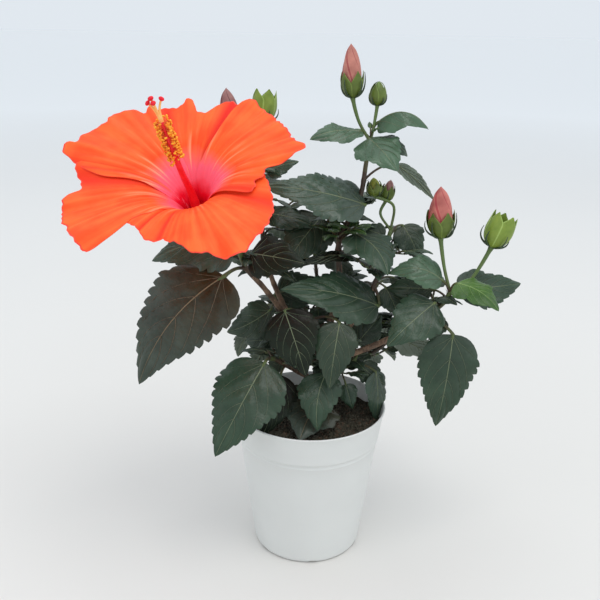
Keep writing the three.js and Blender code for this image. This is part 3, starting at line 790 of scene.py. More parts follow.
class Tone(Enum):
    """The leaf colours that the plant shows: shades from foot to tip, and the veins."""

    DEEP = (leaf_shades("deep", (0.023, 0.036, 0.022), (0.042, 0.060, 0.036),
                        (0.018, 0.036, 0.020), (0.035, 0.060, 0.034), 0.35), VEIN)
    MID = (leaf_shades("mid", (0.023, 0.044, 0.026), (0.041, 0.068, 0.041),
                       (0.021, 0.047, 0.025), (0.038, 0.073, 0.041), 0.36), VEIN)
    # BLUE is a lighter, bluer grey-green: partly the leaves' own tone, partly a painted bluish sheen
    BLUE = (leaf_shades("blue", (0.036, 0.060, 0.041), (0.060, 0.090, 0.065),
                        (0.030, 0.060, 0.036), (0.052, 0.092, 0.058)), VEIN)
    OLIVE = (leaf_shades("olive", (0.009, 0.008, 0.005), (0.017, 0.015, 0.010),
                         (0.009, 0.014, 0.009), (0.018, 0.026, 0.016), 0.14), VEIN)
    LIGHT = (leaf_shades("light", (0.044, 0.088, 0.048), (0.070, 0.128, 0.072),
                         (0.040, 0.086, 0.044), (0.064, 0.126, 0.068)), VEIN)
    YOUNG = (leaf_shades("young", (0.020, 0.050, 0.012), (0.046, 0.100, 0.024),
                         (0.018, 0.048, 0.012), (0.042, 0.096, 0.022)), FRESH_VEIN)
    FRESH = (leaf_shades("fresh", (0.036, 0.086, 0.013), (0.068, 0.148, 0.024),
                         (0.030, 0.078, 0.013), (0.058, 0.134, 0.023), 0.34), FRESH_VEIN)
    BRONZE = (leaf_shades("bronze", (0.026, 0.018, 0.007), (0.049, 0.037, 0.014),
                          (0.042, 0.056, 0.042), (0.074, 0.094, 0.073), 0.28, 7), TAN_VEIN)


# A stem's rind, from green to woody
RINDS = 5
RIND = tuple(
    Finish(f"rind_{k}", blend((0.085, 0.140, 0.035), (0.040, 0.026, 0.015), k / (RINDS - 1)),
           blend((0.130, 0.190, 0.055), (0.090, 0.056, 0.034), k / (RINDS - 1)), 0.55)
    for k in range(RINDS)
)
BARK = BarkFinish("ridged_bark", (0.075, 0.043, 0.026), (0.270, 0.168, 0.104), 0.7, mottle=150.0)
PLASTIC = PlasticFinish("moulded_plastic", (0.69, 0.70, 0.68), (0.74, 0.75, 0.73), 0.5,
                        mottle=14.0, grain=1200.0, depth=0.04 * MM, gloss=0.4)
SOIL = Finish("soil", (0.026, 0.022, 0.014), (0.082, 0.068, 0.043), 0.95, 400.0, 1500.0, 0.8 * MM)
CRUMB = Finish("crumb_dark", (0.028, 0.025, 0.017), (0.098, 0.084, 0.056), 0.95, 500.0, 1800.0, 0.3 * MM)
BARK_CRUMB = Finish("crumb_red", (0.055, 0.032, 0.020), (0.14, 0.085, 0.053), 0.9, 500.0, 1800.0, 0.3 * MM)
PETAL = PetalFinish("petal", (0.98, 0.076, 0.011), (1.0, 0.142, 0.027), 0.6, 55.0, 1500.0, 0.08 * MM, 0.2)
# The petals' darker rim: partly their own deeper red edge, partly a painted shade line where an edge lies
# over a neighbour
PETAL_RIM = Finish("petal_rim", (0.80, 0.030, 0.010), (0.95, 0.060, 0.016), 0.6, 200.0)
COLUMN = Finish("column", (0.80, 0.008, 0.018), (0.95, 0.026, 0.040), 0.4, 200.0)
STYLE = Finish("style", (0.98, 0.42, 0.10), (1.0, 0.62, 0.20), 0.5, 200.0)
STIGMA = Finish("stigma", (0.78, 0.002, 0.016), (0.92, 0.010, 0.032), 0.7, 400.0, 2500.0, 0.4 * MM)
FILAMENT = Finish("filament", (0.90, 0.16, 0.03), (1.0, 0.28, 0.05), 0.6, 300.0)
POLLEN = Finish("pollen_gold", (0.95, 0.30, 0.012), (1.0, 0.54, 0.040), 0.8, 900.0, 3000.0, 0.2 * MM)
ORANGE_POLLEN = Finish("pollen_orange", (0.90, 0.20, 0.008), (1.0, 0.36, 0.018), 0.8, 900.0, 3000.0,
                       0.2 * MM)
# Sepals and their paler edges
SEPAL = pair("sepal", ((0.070, 0.108, 0.009), (0.115, 0.165, 0.020)),
             ((0.130, 0.190, 0.026), (0.180, 0.250, 0.045)), 0.5, 150.0, "edge")
PALE_SEPAL = pair("sepal_pale", ((0.140, 0.215, 0.020), (0.220, 0.305, 0.040)),
                  ((0.250, 0.370, 0.065), (0.330, 0.450, 0.110)), 0.5, 150.0, "edge")
BRACT = Finish("bract", (0.016, 0.034, 0.012), (0.036, 0.066, 0.024), 0.5, 150.0)


class Wrap(Enum):
    """The colours of the petals still rolled in a bud: their backs and their dark edges."""

    CORAL = pair("bud_coral", ((0.36, 0.125, 0.095), (0.56, 0.215, 0.165)),
                 ((0.25, 0.040, 0.040), (0.36, 0.080, 0.070)), 0.6, 120.0, "edge")
    PINK = pair("bud_pink", ((0.38, 0.095, 0.080), (0.58, 0.180, 0.145)),
                ((0.30, 0.030, 0.040), (0.44, 0.060, 0.060)), 0.6, 120.0, "edge")
    MAUVE = pair("bud_mauve", ((0.22, 0.090, 0.090), (0.36, 0.170, 0.150)),
                 ((0.10, 0.020, 0.024), (0.16, 0.045, 0.045)), 0.6, 120.0, "edge")
    GREEN = pair("bud_green", ((0.120, 0.200, 0.034), (0.190, 0.280, 0.060)),
                 ((0.075, 0.130, 0.024), (0.110, 0.170, 0.036)), 0.55, 120.0, "edge")
    YELLOW = pair("bud_yellow", ((0.170, 0.200, 0.018), (0.260, 0.290, 0.034)),
                  ((0.090, 0.110, 0.014), (0.130, 0.150, 0.022)), 0.55, 120.0, "edge")


# Leaves


def rind(age: Array) -> list[Material]:
    """Gives the rind of each strip of a stem, green to woody, from the ages of its points."""
    steps = np.clip(np.round((age[1:] + age[:-1]) / 2 * (RINDS - 1)), 0, RINDS - 1)
    return [RIND[int(step)].material() for step in steps]


class Mass:
    """The pieces of one mass: its twigs, its blades and its buds."""

    def __init__(self, name: str) -> None:
        """Starts them empty.

        Args:
            name: The mass's name.
        """
        self.name = name
        self.twigs = Mesher(f"twigs_{name}")
        self.blades = Mesher(f"foliage_{name}")
        self.buds = Mesher(f"buds_{name}")

    def finish(self) -> None:
        """Makes the objects of those that hold anything."""
        self.blades.piece("foliage", f"leaves_{self.name}")
        self.twigs.piece("foliage")
        if self.buds.count:
            self.buds.piece("foliage")


@dataclass(frozen=True)
class Leaf:
    """One leaf on a stem, toothed from a quarter of its length to its tip.

    at is the share of the stem where its stalk leaves, stalk is heading, rise and length,
    blade is length, heading and rise, and face is the bearing that its upper side looks to.
    twist is how far the blade turns about its midrib, in degrees, and sway is how far the midrib
    bows sideways, as a share of the length.
    """

    at: float
    stalk: Triple
    blade: Triple
    face: Pair = (0, 90)
    width: float = 0.62
    arch: float = 0.06
    cup: float = 0.12
    twist: float = 0.0
    sway: float = 0.0
    tone: Tone = Tone.DEEP
    toothless: float = 0.22
    tooth: float = 0.07
    thickness: float = 0.45 * MM

    ACROSS = np.array([0, 0.1, 0.22, 0.36, 0.5, 0.64, 0.78, 0.91, 1])
    FOOT = (0.0, 0.01, 0.03, 0.06, 0.1, 0.145, 0.185)
    # The length of one tooth in millimetres, how many a side may have, and where the last ends
    PITCH = 8
    TEETH = (4, 10)
    LAST = 0.985
    # Where each row of a tooth lies, how far it stands out and how far it leans ahead
    TOOTH = ((0.0, -0.5, 0.0), (0.22, 0.3, 0.0), (0.5, 0.85, 0.03), (0.78, 1.0, 0.12))
    # The side veins: the length in millimetres from which a leaf has it, the share where it
    # starts, the share and the place across where it ends, and its girth
    VEINS = ((0, 0.012, 0.50, 0.88, 0.85), (0, 0.012, 0.20, 0.86, 0.6), (24, 0.25, 0.62, 0.86, 0.7),
             (24, 0.45, 0.78, 0.84, 0.6), (45, 0.62, 0.89, 0.8, 0.5))
    VEIN_BEND = 1.2
    # How high the blade puffs up between its veins, and how far from one it is at its height
    PUFF = 0.028
    PUFF_REACH = 0.055
    RIPPLE = 0.11
    RIPPLES = 2.3
    DROOP = 0.045
    WANDER = 0.04

    @property
    def length(self) -> float:
        """The blade's length in metres."""
        return self.blade[0] * MM

    @property
    def along(self) -> Array:
        """The direction of the midrib."""
        return bearing(self.blade[1], self.blade[2])

    @cached_property
    def up(self) -> Array:
        """The direction of the upper side."""
        looks = bearing(*self.face)
        return unit(looks - self.along * np.dot(looks, self.along))

    @staticmethod
    def ovate(share: Array) -> Array:
        """Gives the half width at a share of the length, over the greatest one."""
        share = np.clip(share, 0, 1)
        return np.sin(math.pi * share ** 0.54) ** 0.85 * (1 - 0.15 * share ** 3)

    @cached_property
    def veins(self) -> list[list[float]]:
        """The side veins of a leaf of this length, without the length."""
        return [vein for least, *vein in self.VEINS if self.blade[0] > least]

    def rows(self, random: np.random.Generator) -> Array:
        """Works out the mesh's rows, a few for each tooth.

        Args:
            random: The leaf's own unevenness.

        Returns:
            For each row its share of the length, its reach out on each side and its reach ahead.
        """
        count = int(np.clip(round(self.blade[0] / self.PITCH), *self.TEETH))
        pitch = (self.LAST - self.toothless) / count
        rows = [(share, 0.0, 0.0, 0.0) for share in self.FOOT]
        for tooth in range(count):
            left, right = self.tooth * (0.65 + 0.7 * random.random(2))
            for place, out, ahead in self.TOOTH:
                share = self.toothless + (tooth + place) * pitch
                rows.append((share, out * left, out * right, ahead * pitch))
        return np.array(rows + [(1.0, 0.0, 0.0, 0.0)])

    def grid(self, base: Array, random: np.random.Generator) -> tuple[Array, ...]:
        """Gives the blade's middle surface.

        Args:
            base: Where the stalk meets the blade.
            random: The leaf's own unevenness.

        Returns:
            The shares along it, the places across it, and the points by row and column.
        """
        rows, wave = self.rows(random), random.random()
        columns = np.concatenate([-self.ACROSS[:0:-1], self.ACROSS])
        u, v = np.meshgrid(rows[:, 0], columns, indexing="ij")
        side, left = np.abs(v), v < 0
        half = self.length * self.width / 2 * self.ovate(u)
        nearest = side * 0.4
        for start, end, reach, _ in self.veins:
            line = start + (end - start) * np.minimum(side / reach, 1.1) ** self.VEIN_BEND
            nearest = np.minimum(nearest, np.abs(u - line) + np.maximum(0, side - reach))
        puff = self.PUFF * self.length * (1 - np.exp(-(nearest / self.PUFF_REACH) ** 2)) * (1 - side ** 4)
        phase = TURN * (self.RIPPLES * u + wave + 0.35 * np.sign(v))
        ripple = self.RIPPLE * half * np.sin(phase) * side ** 3
        lift = puff * smooth(0, 0.1, u) * smooth(1, 0.8, u) - side * half * self.cup + ripple
        edge = side ** 8
        out = half * v * (1 + edge * np.where(left, rows[:, 1:2], rows[:, 2:3]))
        turn = np.radians(self.twist) * u
        across = np.cross(self.up, self.along)
        bow = (self.sway + self.WANDER * (random.random() - 0.5)) * self.length * 4 * u * (1 - u)
        sideways = out * np.cos(turn) - lift * np.sin(turn) + bow
        above = out * np.sin(turn) + lift * np.cos(turn)
        above = above + self.length * (self.arch * 4 * u * (1 - u) - self.DROOP * u ** 3)
        ahead = self.length * (u + edge * rows[:, 3:4] * smooth(1, 0.9, u))
        points = base + across * sideways[..., None] + self.up * above[..., None]
        return rows[:, 0], columns, points + self.along * ahead[..., None]

    def grow(self, root: Array, mass: Mass, seed: int) -> None:
        """Adds the blade, its veins and its stalk.

        Args:
            root: Where the stalk leaves the stem.
            mass: The mass that it belongs to.
            seed: Seed of this leaf's own unevenness.
        """
        random = np.random.default_rng(seed)
        base = root + bearing(*self.stalk[:2]) * self.stalk[2] * MM
        shares, columns, points = self.grid(base, random)
        shades, veins = self.tone.value
        u = (shares[1:, None] + shares[:-1, None]) / 2
        v = (columns[None, 1:] + columns[None, :-1]) / 2
        # The shades run from the foot to the tip, sooner on the left and at the edges
        place = 1.15 * u + 0.4 * np.maximum(0, -v) * (u > 0.15) + 0.2 * np.abs(v) ** 3
        place = place + 0.16 * (random.random(place.shape) - 0.5)
        slots = np.array([mass.blades.slot(shade.material()) for shade in shades])
        chosen = slots[np.clip((place * len(shades)).astype(int), 0, len(shades) - 1)]
        mass.blades.sheet(points, self.up, self.thickness, chosen, UNDERSIDE.material())
        self.draw_veins((shares, columns, points), mass.blades, [vein.material() for vein in veins])
        self.draw_stalk(root, base, points, mass.twigs)

    def draw_veins(self, grid: tuple[Array, ...], blades: Mesher, paints: list[Material]) -> None:
        """Adds the midrib and the side veins, which stand out on both sides of the blade.

        Args:
            grid: The blade's middle surface, as grid gives it.
            blades: The mass's blades.
            paints: The materials of the midrib and of the side veins.
        """
        shares, columns, points = grid
        steps = np.linspace(0, 1, 15)
        grow = math.sqrt(self.blade[0] / 80) * MM
        lines = [(steps * 0.97, steps * 0, 0.66)]
        for start, end, reach, girth in self.veins:
            line = start + (end - start) * steps ** self.VEIN_BEND
            lines += [(line, side * reach * steps, 0.52 * girth) for side in (-1, 1)]
        for k, (u, v, girth) in enumerate(lines):
            path = on_grid(points, np.interp(u, shares, np.arange(len(shares))),
                           np.interp(v, columns, np.arange(len(columns))))
            half = np.maximum(girth * (1 - 0.7 * steps), 0.14) * grow
            stand = self.thickness / 2 + 0.42 * MM * (1 - 0.3 * steps)
            blades.tube(path, half, 6, paints[min(k, 1)], self.up, stand / half)

    def draw_stalk(self, root: Array, base: Array, points: Array, twigs: Mesher) -> None:
        """Adds the stalk, thicker at both ends, which runs on under the midrib.

        Args:
            root: Where it leaves the stem.
            base: Where it meets the blade.
            points: The blade's middle surface.
            twigs: The mass's twigs.
        """
        reach = self.stalk[2] * MM
        bend = root + bearing(*self.stalk[:2]) * reach * 0.6 - self.along * reach * 0.15
        bend = bend + UP * reach * 0.12
        shares = np.linspace(0, 1, 10)
        # It ends under the blade's fourth row
        end = points[3, len(self.ACROSS) - 1] - self.up * 0.15 * MM
        path = np.vstack([bezier([root, bend, base], shares), end])
        girth = (0.55 + 0.008 * self.blade[0]) * MM
        radii = girth * (1 + 0.35 * np.exp(-shares * 9) + 0.3 * np.exp((shares - 1) * 12))
        age = np.append(1.0 - 0.6 * shares ** 2, 0.3)
        twigs.tube(path, np.append(radii, girth * 0.5), 8, rind(age))


@dataclass(frozen=True)
class Sprig:
    """A fine side twig with a few young leaves, the smallest at its tip.

    at is the share of the stem where it leaves, lead is its heading, rise and length, and size
    is the length of its largest leaf.
    """

    at: float
    lead: Triple
    size: float
    count: int = 4
    tone: Tone = Tone.DEEP

    # How far its leaves look up, and how far they turn aside and about themselves
    LOOK = 62.0
    SPREAD = 24.0
    TWIST = 50.0

    def grow(self, root: Array, mass: Mass, seed: int) -> None:
        """Adds the twig and its leaves, set round it by the golden angle.

        Args:
            root: Where it leaves the stem.
            mass: The mass that it belongs to.
            seed: Seed of its unevenness.
        """
        random = np.random.default_rng(seed + 900)
        heading, rise, reach = self.lead
        tip = root + bearing(heading, rise) * reach * MM
        line = Spline([root, (root + tip) / 2 - UP * 0.06 * reach * MM, tip])
        shares = np.linspace(0, 1, 9)
        mass.twigs.tube(line.at(shares), (0.95 - 0.45 * shares) * MM, 8, rind(0.8 - 0.8 * shares))
        for k in range(self.count):
            turn = heading + GOLDEN * (k + 0.5) if k < self.count - 1 else heading
            length = self.size * (1 - 0.5 * k / self.count) * (0.9 + 0.2 * random.random())
            lift = rise * 0.4 + 20 * k / self.count
            stalk = (turn, lift + 15, 3 + 0.2 * length)
            blade = (length, turn + self.SPREAD * (random.random() - 0.5), lift - 12)
            twist = self.TWIST * (random.random() - 0.5)
            leaf = Leaf(0, stalk, blade, (turn, self.LOOK), 0.6, 0.08, twist=twist, tone=self.tone)
            leaf.grow(line.at((k + 1) / self.count), mass, seed + 31 * k)


# Buds


# The outline of a closed bud and of a young one, as radius and height over the whole
CLOSED = ((0, 0), (0.26, 0.012), (0.6, 0.09), (0.86, 0.2), (1, 0.36), (0.94, 0.56), (0.56, 0.84),
          (0, 1))
CROWN = ((0, 0), (0.26, 0.012), (0.58, 0.09), (0.86, 0.24), (1, 0.46), (0.95, 0.68), (0.82, 0.88),
         (0.72, 1))


@dataclass(frozen=True)
class Bud:
    """A flower bud on its stalk.

    legs are the stalk's stretches as heading, rise and length, lean is the bud's bearing,
    length and width are its size, cover is how far up the sepals reach, and a crown is a young
    bud whose sepals stand apart at their tips, past the petals rolled inside.
    """

    legs: tuple[Triple, ...]
    lean: Pair
    length: float
    width: float
    cover: float = 0.55
    bracts: int = 5
    wrap: Wrap = Wrap.CORAL
    crown: bool = False

    PARTS = 5
    SIDES = 40
    ROWS = 30
    # How far up a crown's petals reach, how far all of them wind round and how wide their edges are
    CROWN_TOP = 0.66
    WIND = 1.6
    EDGE = 0.16
    ACROSS = (-1, -0.86, -0.6, -0.3, 0, 0.3, 0.6, 0.86, 1)
    SEPAL_FOOT = 0.012
    SEPAL_SPREAD = 0.72
    SEPAL_THICKNESS = 0.45 * MM
    # A bract's way: radii over the bud's own, and heights over its length, fixed and by reach
    BRACT_OUT = np.array([0.2, 0.85, 1.42, 1.22])
    BRACT_START = np.array([0.02, 0.03, 0, 0])
    BRACT_RISE = np.array([0, 0, 0.15, 0.40])

    def radius(self, share: Array) -> Array:
        """Gives the bud's radius at shares of its height, in metres."""
        curve = Spline([(r, h, 0.0) for r, h in (CROWN if self.crown else CLOSED)]).samples
        return np.interp(share, curve[:, 1], curve[:, 0]) * self.width / 2 * MM

    def grow(self, root: Array, mass: Mass, seed: int) -> None:
        """Adds the stalk, the rolled petals, the sepals and the thin leaflets round its foot.

        Args:
            root: Where the stalk leaves the stem.
            mass: The mass that it belongs to.
            seed: Seed of this bud's own unevenness.
        """
        points = [root]
        for heading, rise, reach in self.legs:
            points.append(points[-1] + bearing(heading, rise) * reach * MM)
        foot, axis = points[-1], bearing(*self.lean)
        shares = np.linspace(0, 1, 20)
        swell = 1.0 + 0.25 * smooth(0.4, 0.85, shares) + 0.75 * smooth(0.85, 1, shares)
        girth = (0.75 + 0.024 * self.width) * MM
        line = Spline([*points, foot + axis * 2 * MM])
        mass.twigs.tube(line.at(shares), girth * swell, 12, rind(0.25 - 0.3 * shares))
        place = (foot, axis)
        self.roll(place, mass.buds)
        random = np.random.default_rng(seed)
        for k in range(self.PARTS):
            self.sepal(place, mass.buds, TURN * (k + 0.2 * random.random()) / self.PARTS)
        for k in range(self.bracts):
            turn = TURN * (k + 0.4 * random.random()) / self.bracts
            self.bract(place, mass.buds, turn, 0.8 + 0.4 * random.random())

    def roll(self, place: tuple[Array, Array], buds: Mesher) -> None:
        """Adds the petals, rolled round each other with five edges.

        Args:
            place: The bud's foot and direction.
            buds: The mass's buds.
        """
        shares = np.linspace(0.04, 0.985, self.ROWS)
        top = self.CROWN_TOP if self.crown else 1.0
        spin = np.arange(self.SIDES) * self.PARTS / self.SIDES % 1
        turn = around(self.SIDES) - self.WIND * shares[:, None] ** 1.5
        radii = self.radius(shares * top)[:, None] * (0.9 + 0.1 * (spin - 0.5))
        if self.crown:
            radii = radii * np.sqrt(1 - shares[:, None] ** 6)
        rings = circled(radii, turn, shares[:, None] * top * self.length * MM)
        body, edge = (finish.material() for finish in self.wrap.value)
        slots = np.where(spin > 1 - self.EDGE, buds.slot(edge), buds.slot(body))
        tip = turned(UP * top * self.length * MM, *place)
        buds.skin(turned(rings, *place), place[0], tip, slots)

    def sepal(self, place: tuple[Array, Array], buds: Mesher, middle: float) -> None:
        """Adds one sepal: broad at the foot, pointed at the tip, with a ridge up its middle.

        Args:
            place: The bud's foot and direction.
            buds: The mass's buds.
            middle: The turn of its middle round the bud, in radians.
        """
        u, v = np.meshgrid(np.linspace(0, 1, 17), self.ACROSS, indexing="ij")
        start = 0.68 if self.crown else 0.42
        spread = self.SEPAL_SPREAD * (1 - smooth(start, 1.04, u)) ** 0.85 + 0.012
        share = self.SEPAL_FOOT + u * (self.cover - self.SEPAL_FOOT)
        ridge = 0.4 * MM * (1 - np.abs(v)) ** 2 * (1 - u)
        stand = 0.3 + (1.2 * u ** 5 if self.crown else 0.25 * u)
        out = self.radius(share) + stand * MM + ridge + 0.2 * MM * (v + 1)
        turn = middle + spread * v
        points = circled(np.maximum(out, 0.5 * MM), turn, share * self.length * MM)
        skin, edge = (finish.material() for finish in (PALE_SEPAL if self.crown else SEPAL))
        strips = [edge, *[skin] * (len(self.ACROSS) - 3), edge]
        slots = np.array([buds.slot(material) for material in strips])
        normals = turned(unit(circled(1.0, turn, 0.15)), np.zeros(3), place[1])
        buds.sheet(turned(points, *place), normals, self.SEPAL_THICKNESS, slots, skin)

    def bract(self, place: tuple[Array, Array], buds: Mesher, turn: float, reach: float) -> None:
        """Adds one thin leaflet that springs out from the foot and curves up.

        Args:
            place: The bud's foot and direction.
            buds: The mass's buds.
            turn: Its turn round the bud, in radians.
            reach: Its height over the usual one.
        """
        height = (self.BRACT_START + self.BRACT_RISE * reach) * self.length * MM
        controls = circled(self.BRACT_OUT * self.width / 2 * MM, turn, height)
        shares = np.linspace(0, 1, 11)
        girth = (1.15 - 0.85 * shares ** 1.5) * MM * min(1.0, 0.4 + self.width / 24)
        path = turned(bezier(controls, shares), *place)
        buds.tube(path, girth, 6, BRACT.material(), flat=0.7)


# Shoots


@dataclass(frozen=True)
class Fill:
    """Leaves that a seeded rule adds round the sides and back of a shoot."""

    seed: int
    count: int
    first: float
    heading: float
    sector: Pair
    size: Pair
    last: float = 1.0

    RISE = 12.0
    FALL = 45.0
    STALK = 12.0
    STALK_MORE = 10.0
    FACE = 50.0

    ARCH = 0.05
    ARCH_MORE = 0.08
    TWIST = 32.0
    TONES = (Tone.DEEP, Tone.MID, Tone.DEEP, Tone.BLUE, Tone.OLIVE)

    def leaves(self) -> list[Leaf]:
        """Works out the leaves by the golden angle and the seed.

        Returns:
            The leaves.
        """
        random = Seeded(self.seed)
        low, high = self.sector
        small, large = self.size
        leaves = []
        for i in range(self.count):
            at = self.first + (self.last - self.first) * (i + 0.5) / self.count
            turn = low + ((self.heading + GOLDEN * i - low) % 360) * (high - low) / 360
            length = small + (large - small) * random.next()
            rise = self.RISE - self.FALL * random.next()
            stalk = (turn, rise + 15, self.STALK + self.STALK_MORE * random.next())
            blade = (length, turn + 30 * (random.next() - 0.5), rise - 25)
            arch = self.ARCH + self.ARCH_MORE * random.next()
            twist = self.TWIST * math.sin(2.4 * i + self.seed)
            leaves.append(Leaf(at, stalk, blade, (turn, self.FACE), arch=arch, twist=twist,
                               tone=self.TONES[i % len(self.TONES)]))
        return leaves


@dataclass(frozen=True)
class Shoot:
    """A stem of the plant: bare as a limb for a share of its length, leafy beyond it.

    left_out lists the buds and leaves, counted in that order, that would touch another mass.
    """

    name: str
    points: tuple[Triple, ...]
    bare: float
    radii: Pair
    leaves: tuple[Leaf, ...] = ()
    buds: tuple[Bud, ...] = ()
    fill: Fill | None = None
    sprigs: tuple[Sprig, ...] = ()
    left_out: tuple[int, ...] = ()

    # How far the seeds of two shoots are apart, and those of a shoot's sprigs and of its leaves
    SEEDS = 1000
    SPRIG_SEEDS = 500

    @cached_property
    def spline(self) -> Spline:
        """The whole shoot's middle line, in metres."""
        return Spline([tuple(MM * n for n in point) for point in self.points])

    @property
    def stem_start(self) -> float:
        """The share where the leafy stem starts."""
        return self.bare + (CLEAR / self.spline.length if self.bare else 0.0)

    def share(self, at: float) -> float:
        """Turns a share of the leafy stem into one of the whole shoot."""
        return self.stem_start + (1 - self.stem_start) * at

    def radius(self, share: Array) -> Array:
        """Gives the radius at shares of the whole shoot."""
        return (self.radii[0] + (self.radii[1] - self.radii[0]) * np.asarray(share)) * MM

    def growth(self) -> list[tuple[int, Leaf | Bud, float]]:
        """Lists what the leafy stem carries.

        Returns:
            Each bud and leaf with its number before it and its share of the shoot after it.
        """
        everything = [(bud, self.share(1.0)) for bud in self.buds]
        leaves = [*self.leaves, *(self.fill.leaves() if self.fill else ())]
        everything += [(leaf, self.share(leaf.at)) for leaf in leaves]
        return [(i, *entry) for i, entry in enumerate(everything) if i not in self.left_out]

    def grow(self, number: int) -> None:
        """Makes the pieces that stand for the mass: its twigs, blades and buds.

        Args:
            number: The shoot's number, which seeds its unevenness.
        """
        mass = Mass(self.name)
        growth = self.growth()
        self.draw_stem(mass.twigs, [share for _, _, share in growth])
        for index, thing, share in growth:
            root = self.spline.at(share)
            seed = self.SEEDS * number + index
            thing.grow(root, mass, seed)
            if isinstance(thing, Leaf):
                self.draw_node(root, self.spline.tangent(share), thing, mass.twigs, seed)
        for index, sprig in enumerate(self.sprigs):
            seed = self.SEEDS * number + self.SPRIG_SEEDS + 40 * index
            sprig.grow(self.spline.at(self.share(sprig.at)), mass, seed)
        mass.finish()

    def draw_stem(self, twigs: Mesher, shares: list[float]) -> None:
        """Adds the leafy stem, swollen a little where leaves stand.

        Args:
            twigs: The mass's twigs.
            shares: Where its leaves and buds stand.
        """
        start = max(0.0, self.stem_start - 0.02)
        steps = max(8, round((1 - start) * self.spline.length / (1.2 * MM)))
        line = np.linspace(start, 1, steps)
        swell = np.ones(steps)
        for share in shares:
            swell += 0.16 * np.exp(-((line - share) * self.spline.length / (1.6 * MM)) ** 2)
        swell *= 1 - 0.35 * smooth(0.97, 1, line)
        age = 1.1 - 0.85 * smooth(0.8, 1.0, line)
        twigs.tube(self.spline.at(line), self.radius(line) * np.minimum(swell, 1.3), 12, rind(age))

    @staticmethod
    def draw_node(root: Array, stem: Array, leaf: Leaf, twigs: Mesher, seed: int) -> None:
        """Adds the small bud above a leaf's stalk and the two bristles beside it.

        Args:
            root: Where the stalk leaves the stem.
            stem: The stem's direction there.
            leaf: The leaf.
            twigs: The mass's twigs.
            seed: Seed of their unevenness.
        """
        random = np.random.default_rng(seed + 500)
        lead = bearing(*leaf.stalk[:2])
        out = unit(lead - stem * np.dot(lead, stem))
        side = np.cross(stem, out)
        shares = np.linspace(0, 1, 5)
        foot = root + out * 1.4 * MM + stem * 1.2 * MM
        tip = foot + (stem * 2.2 + out * 0.9) * MM
        bud = bezier([foot - out * MM, foot, tip], shares)
        twigs.tube(bud, np.array([0.5, 0.85, 0.8, 0.5, 0.15]) * MM, 7, RIND[1].material())
        for hand in (-1, 1):
            start = root + (out * 0.9 + side * hand * 1.2) * MM
            reach = (2.6 + 1.6 * random.random()) * MM
            end = start + (out * 0.7 + side * hand * 0.4 + stem * 0.6) * reach
            path = bezier([start - out * 0.6 * MM, start + out * reach * 0.4, end], shares)
            twigs.tube(path, np.array([0.26, 0.24, 0.2, 0.14, 0.05]) * MM, 4, RIND[2].material())


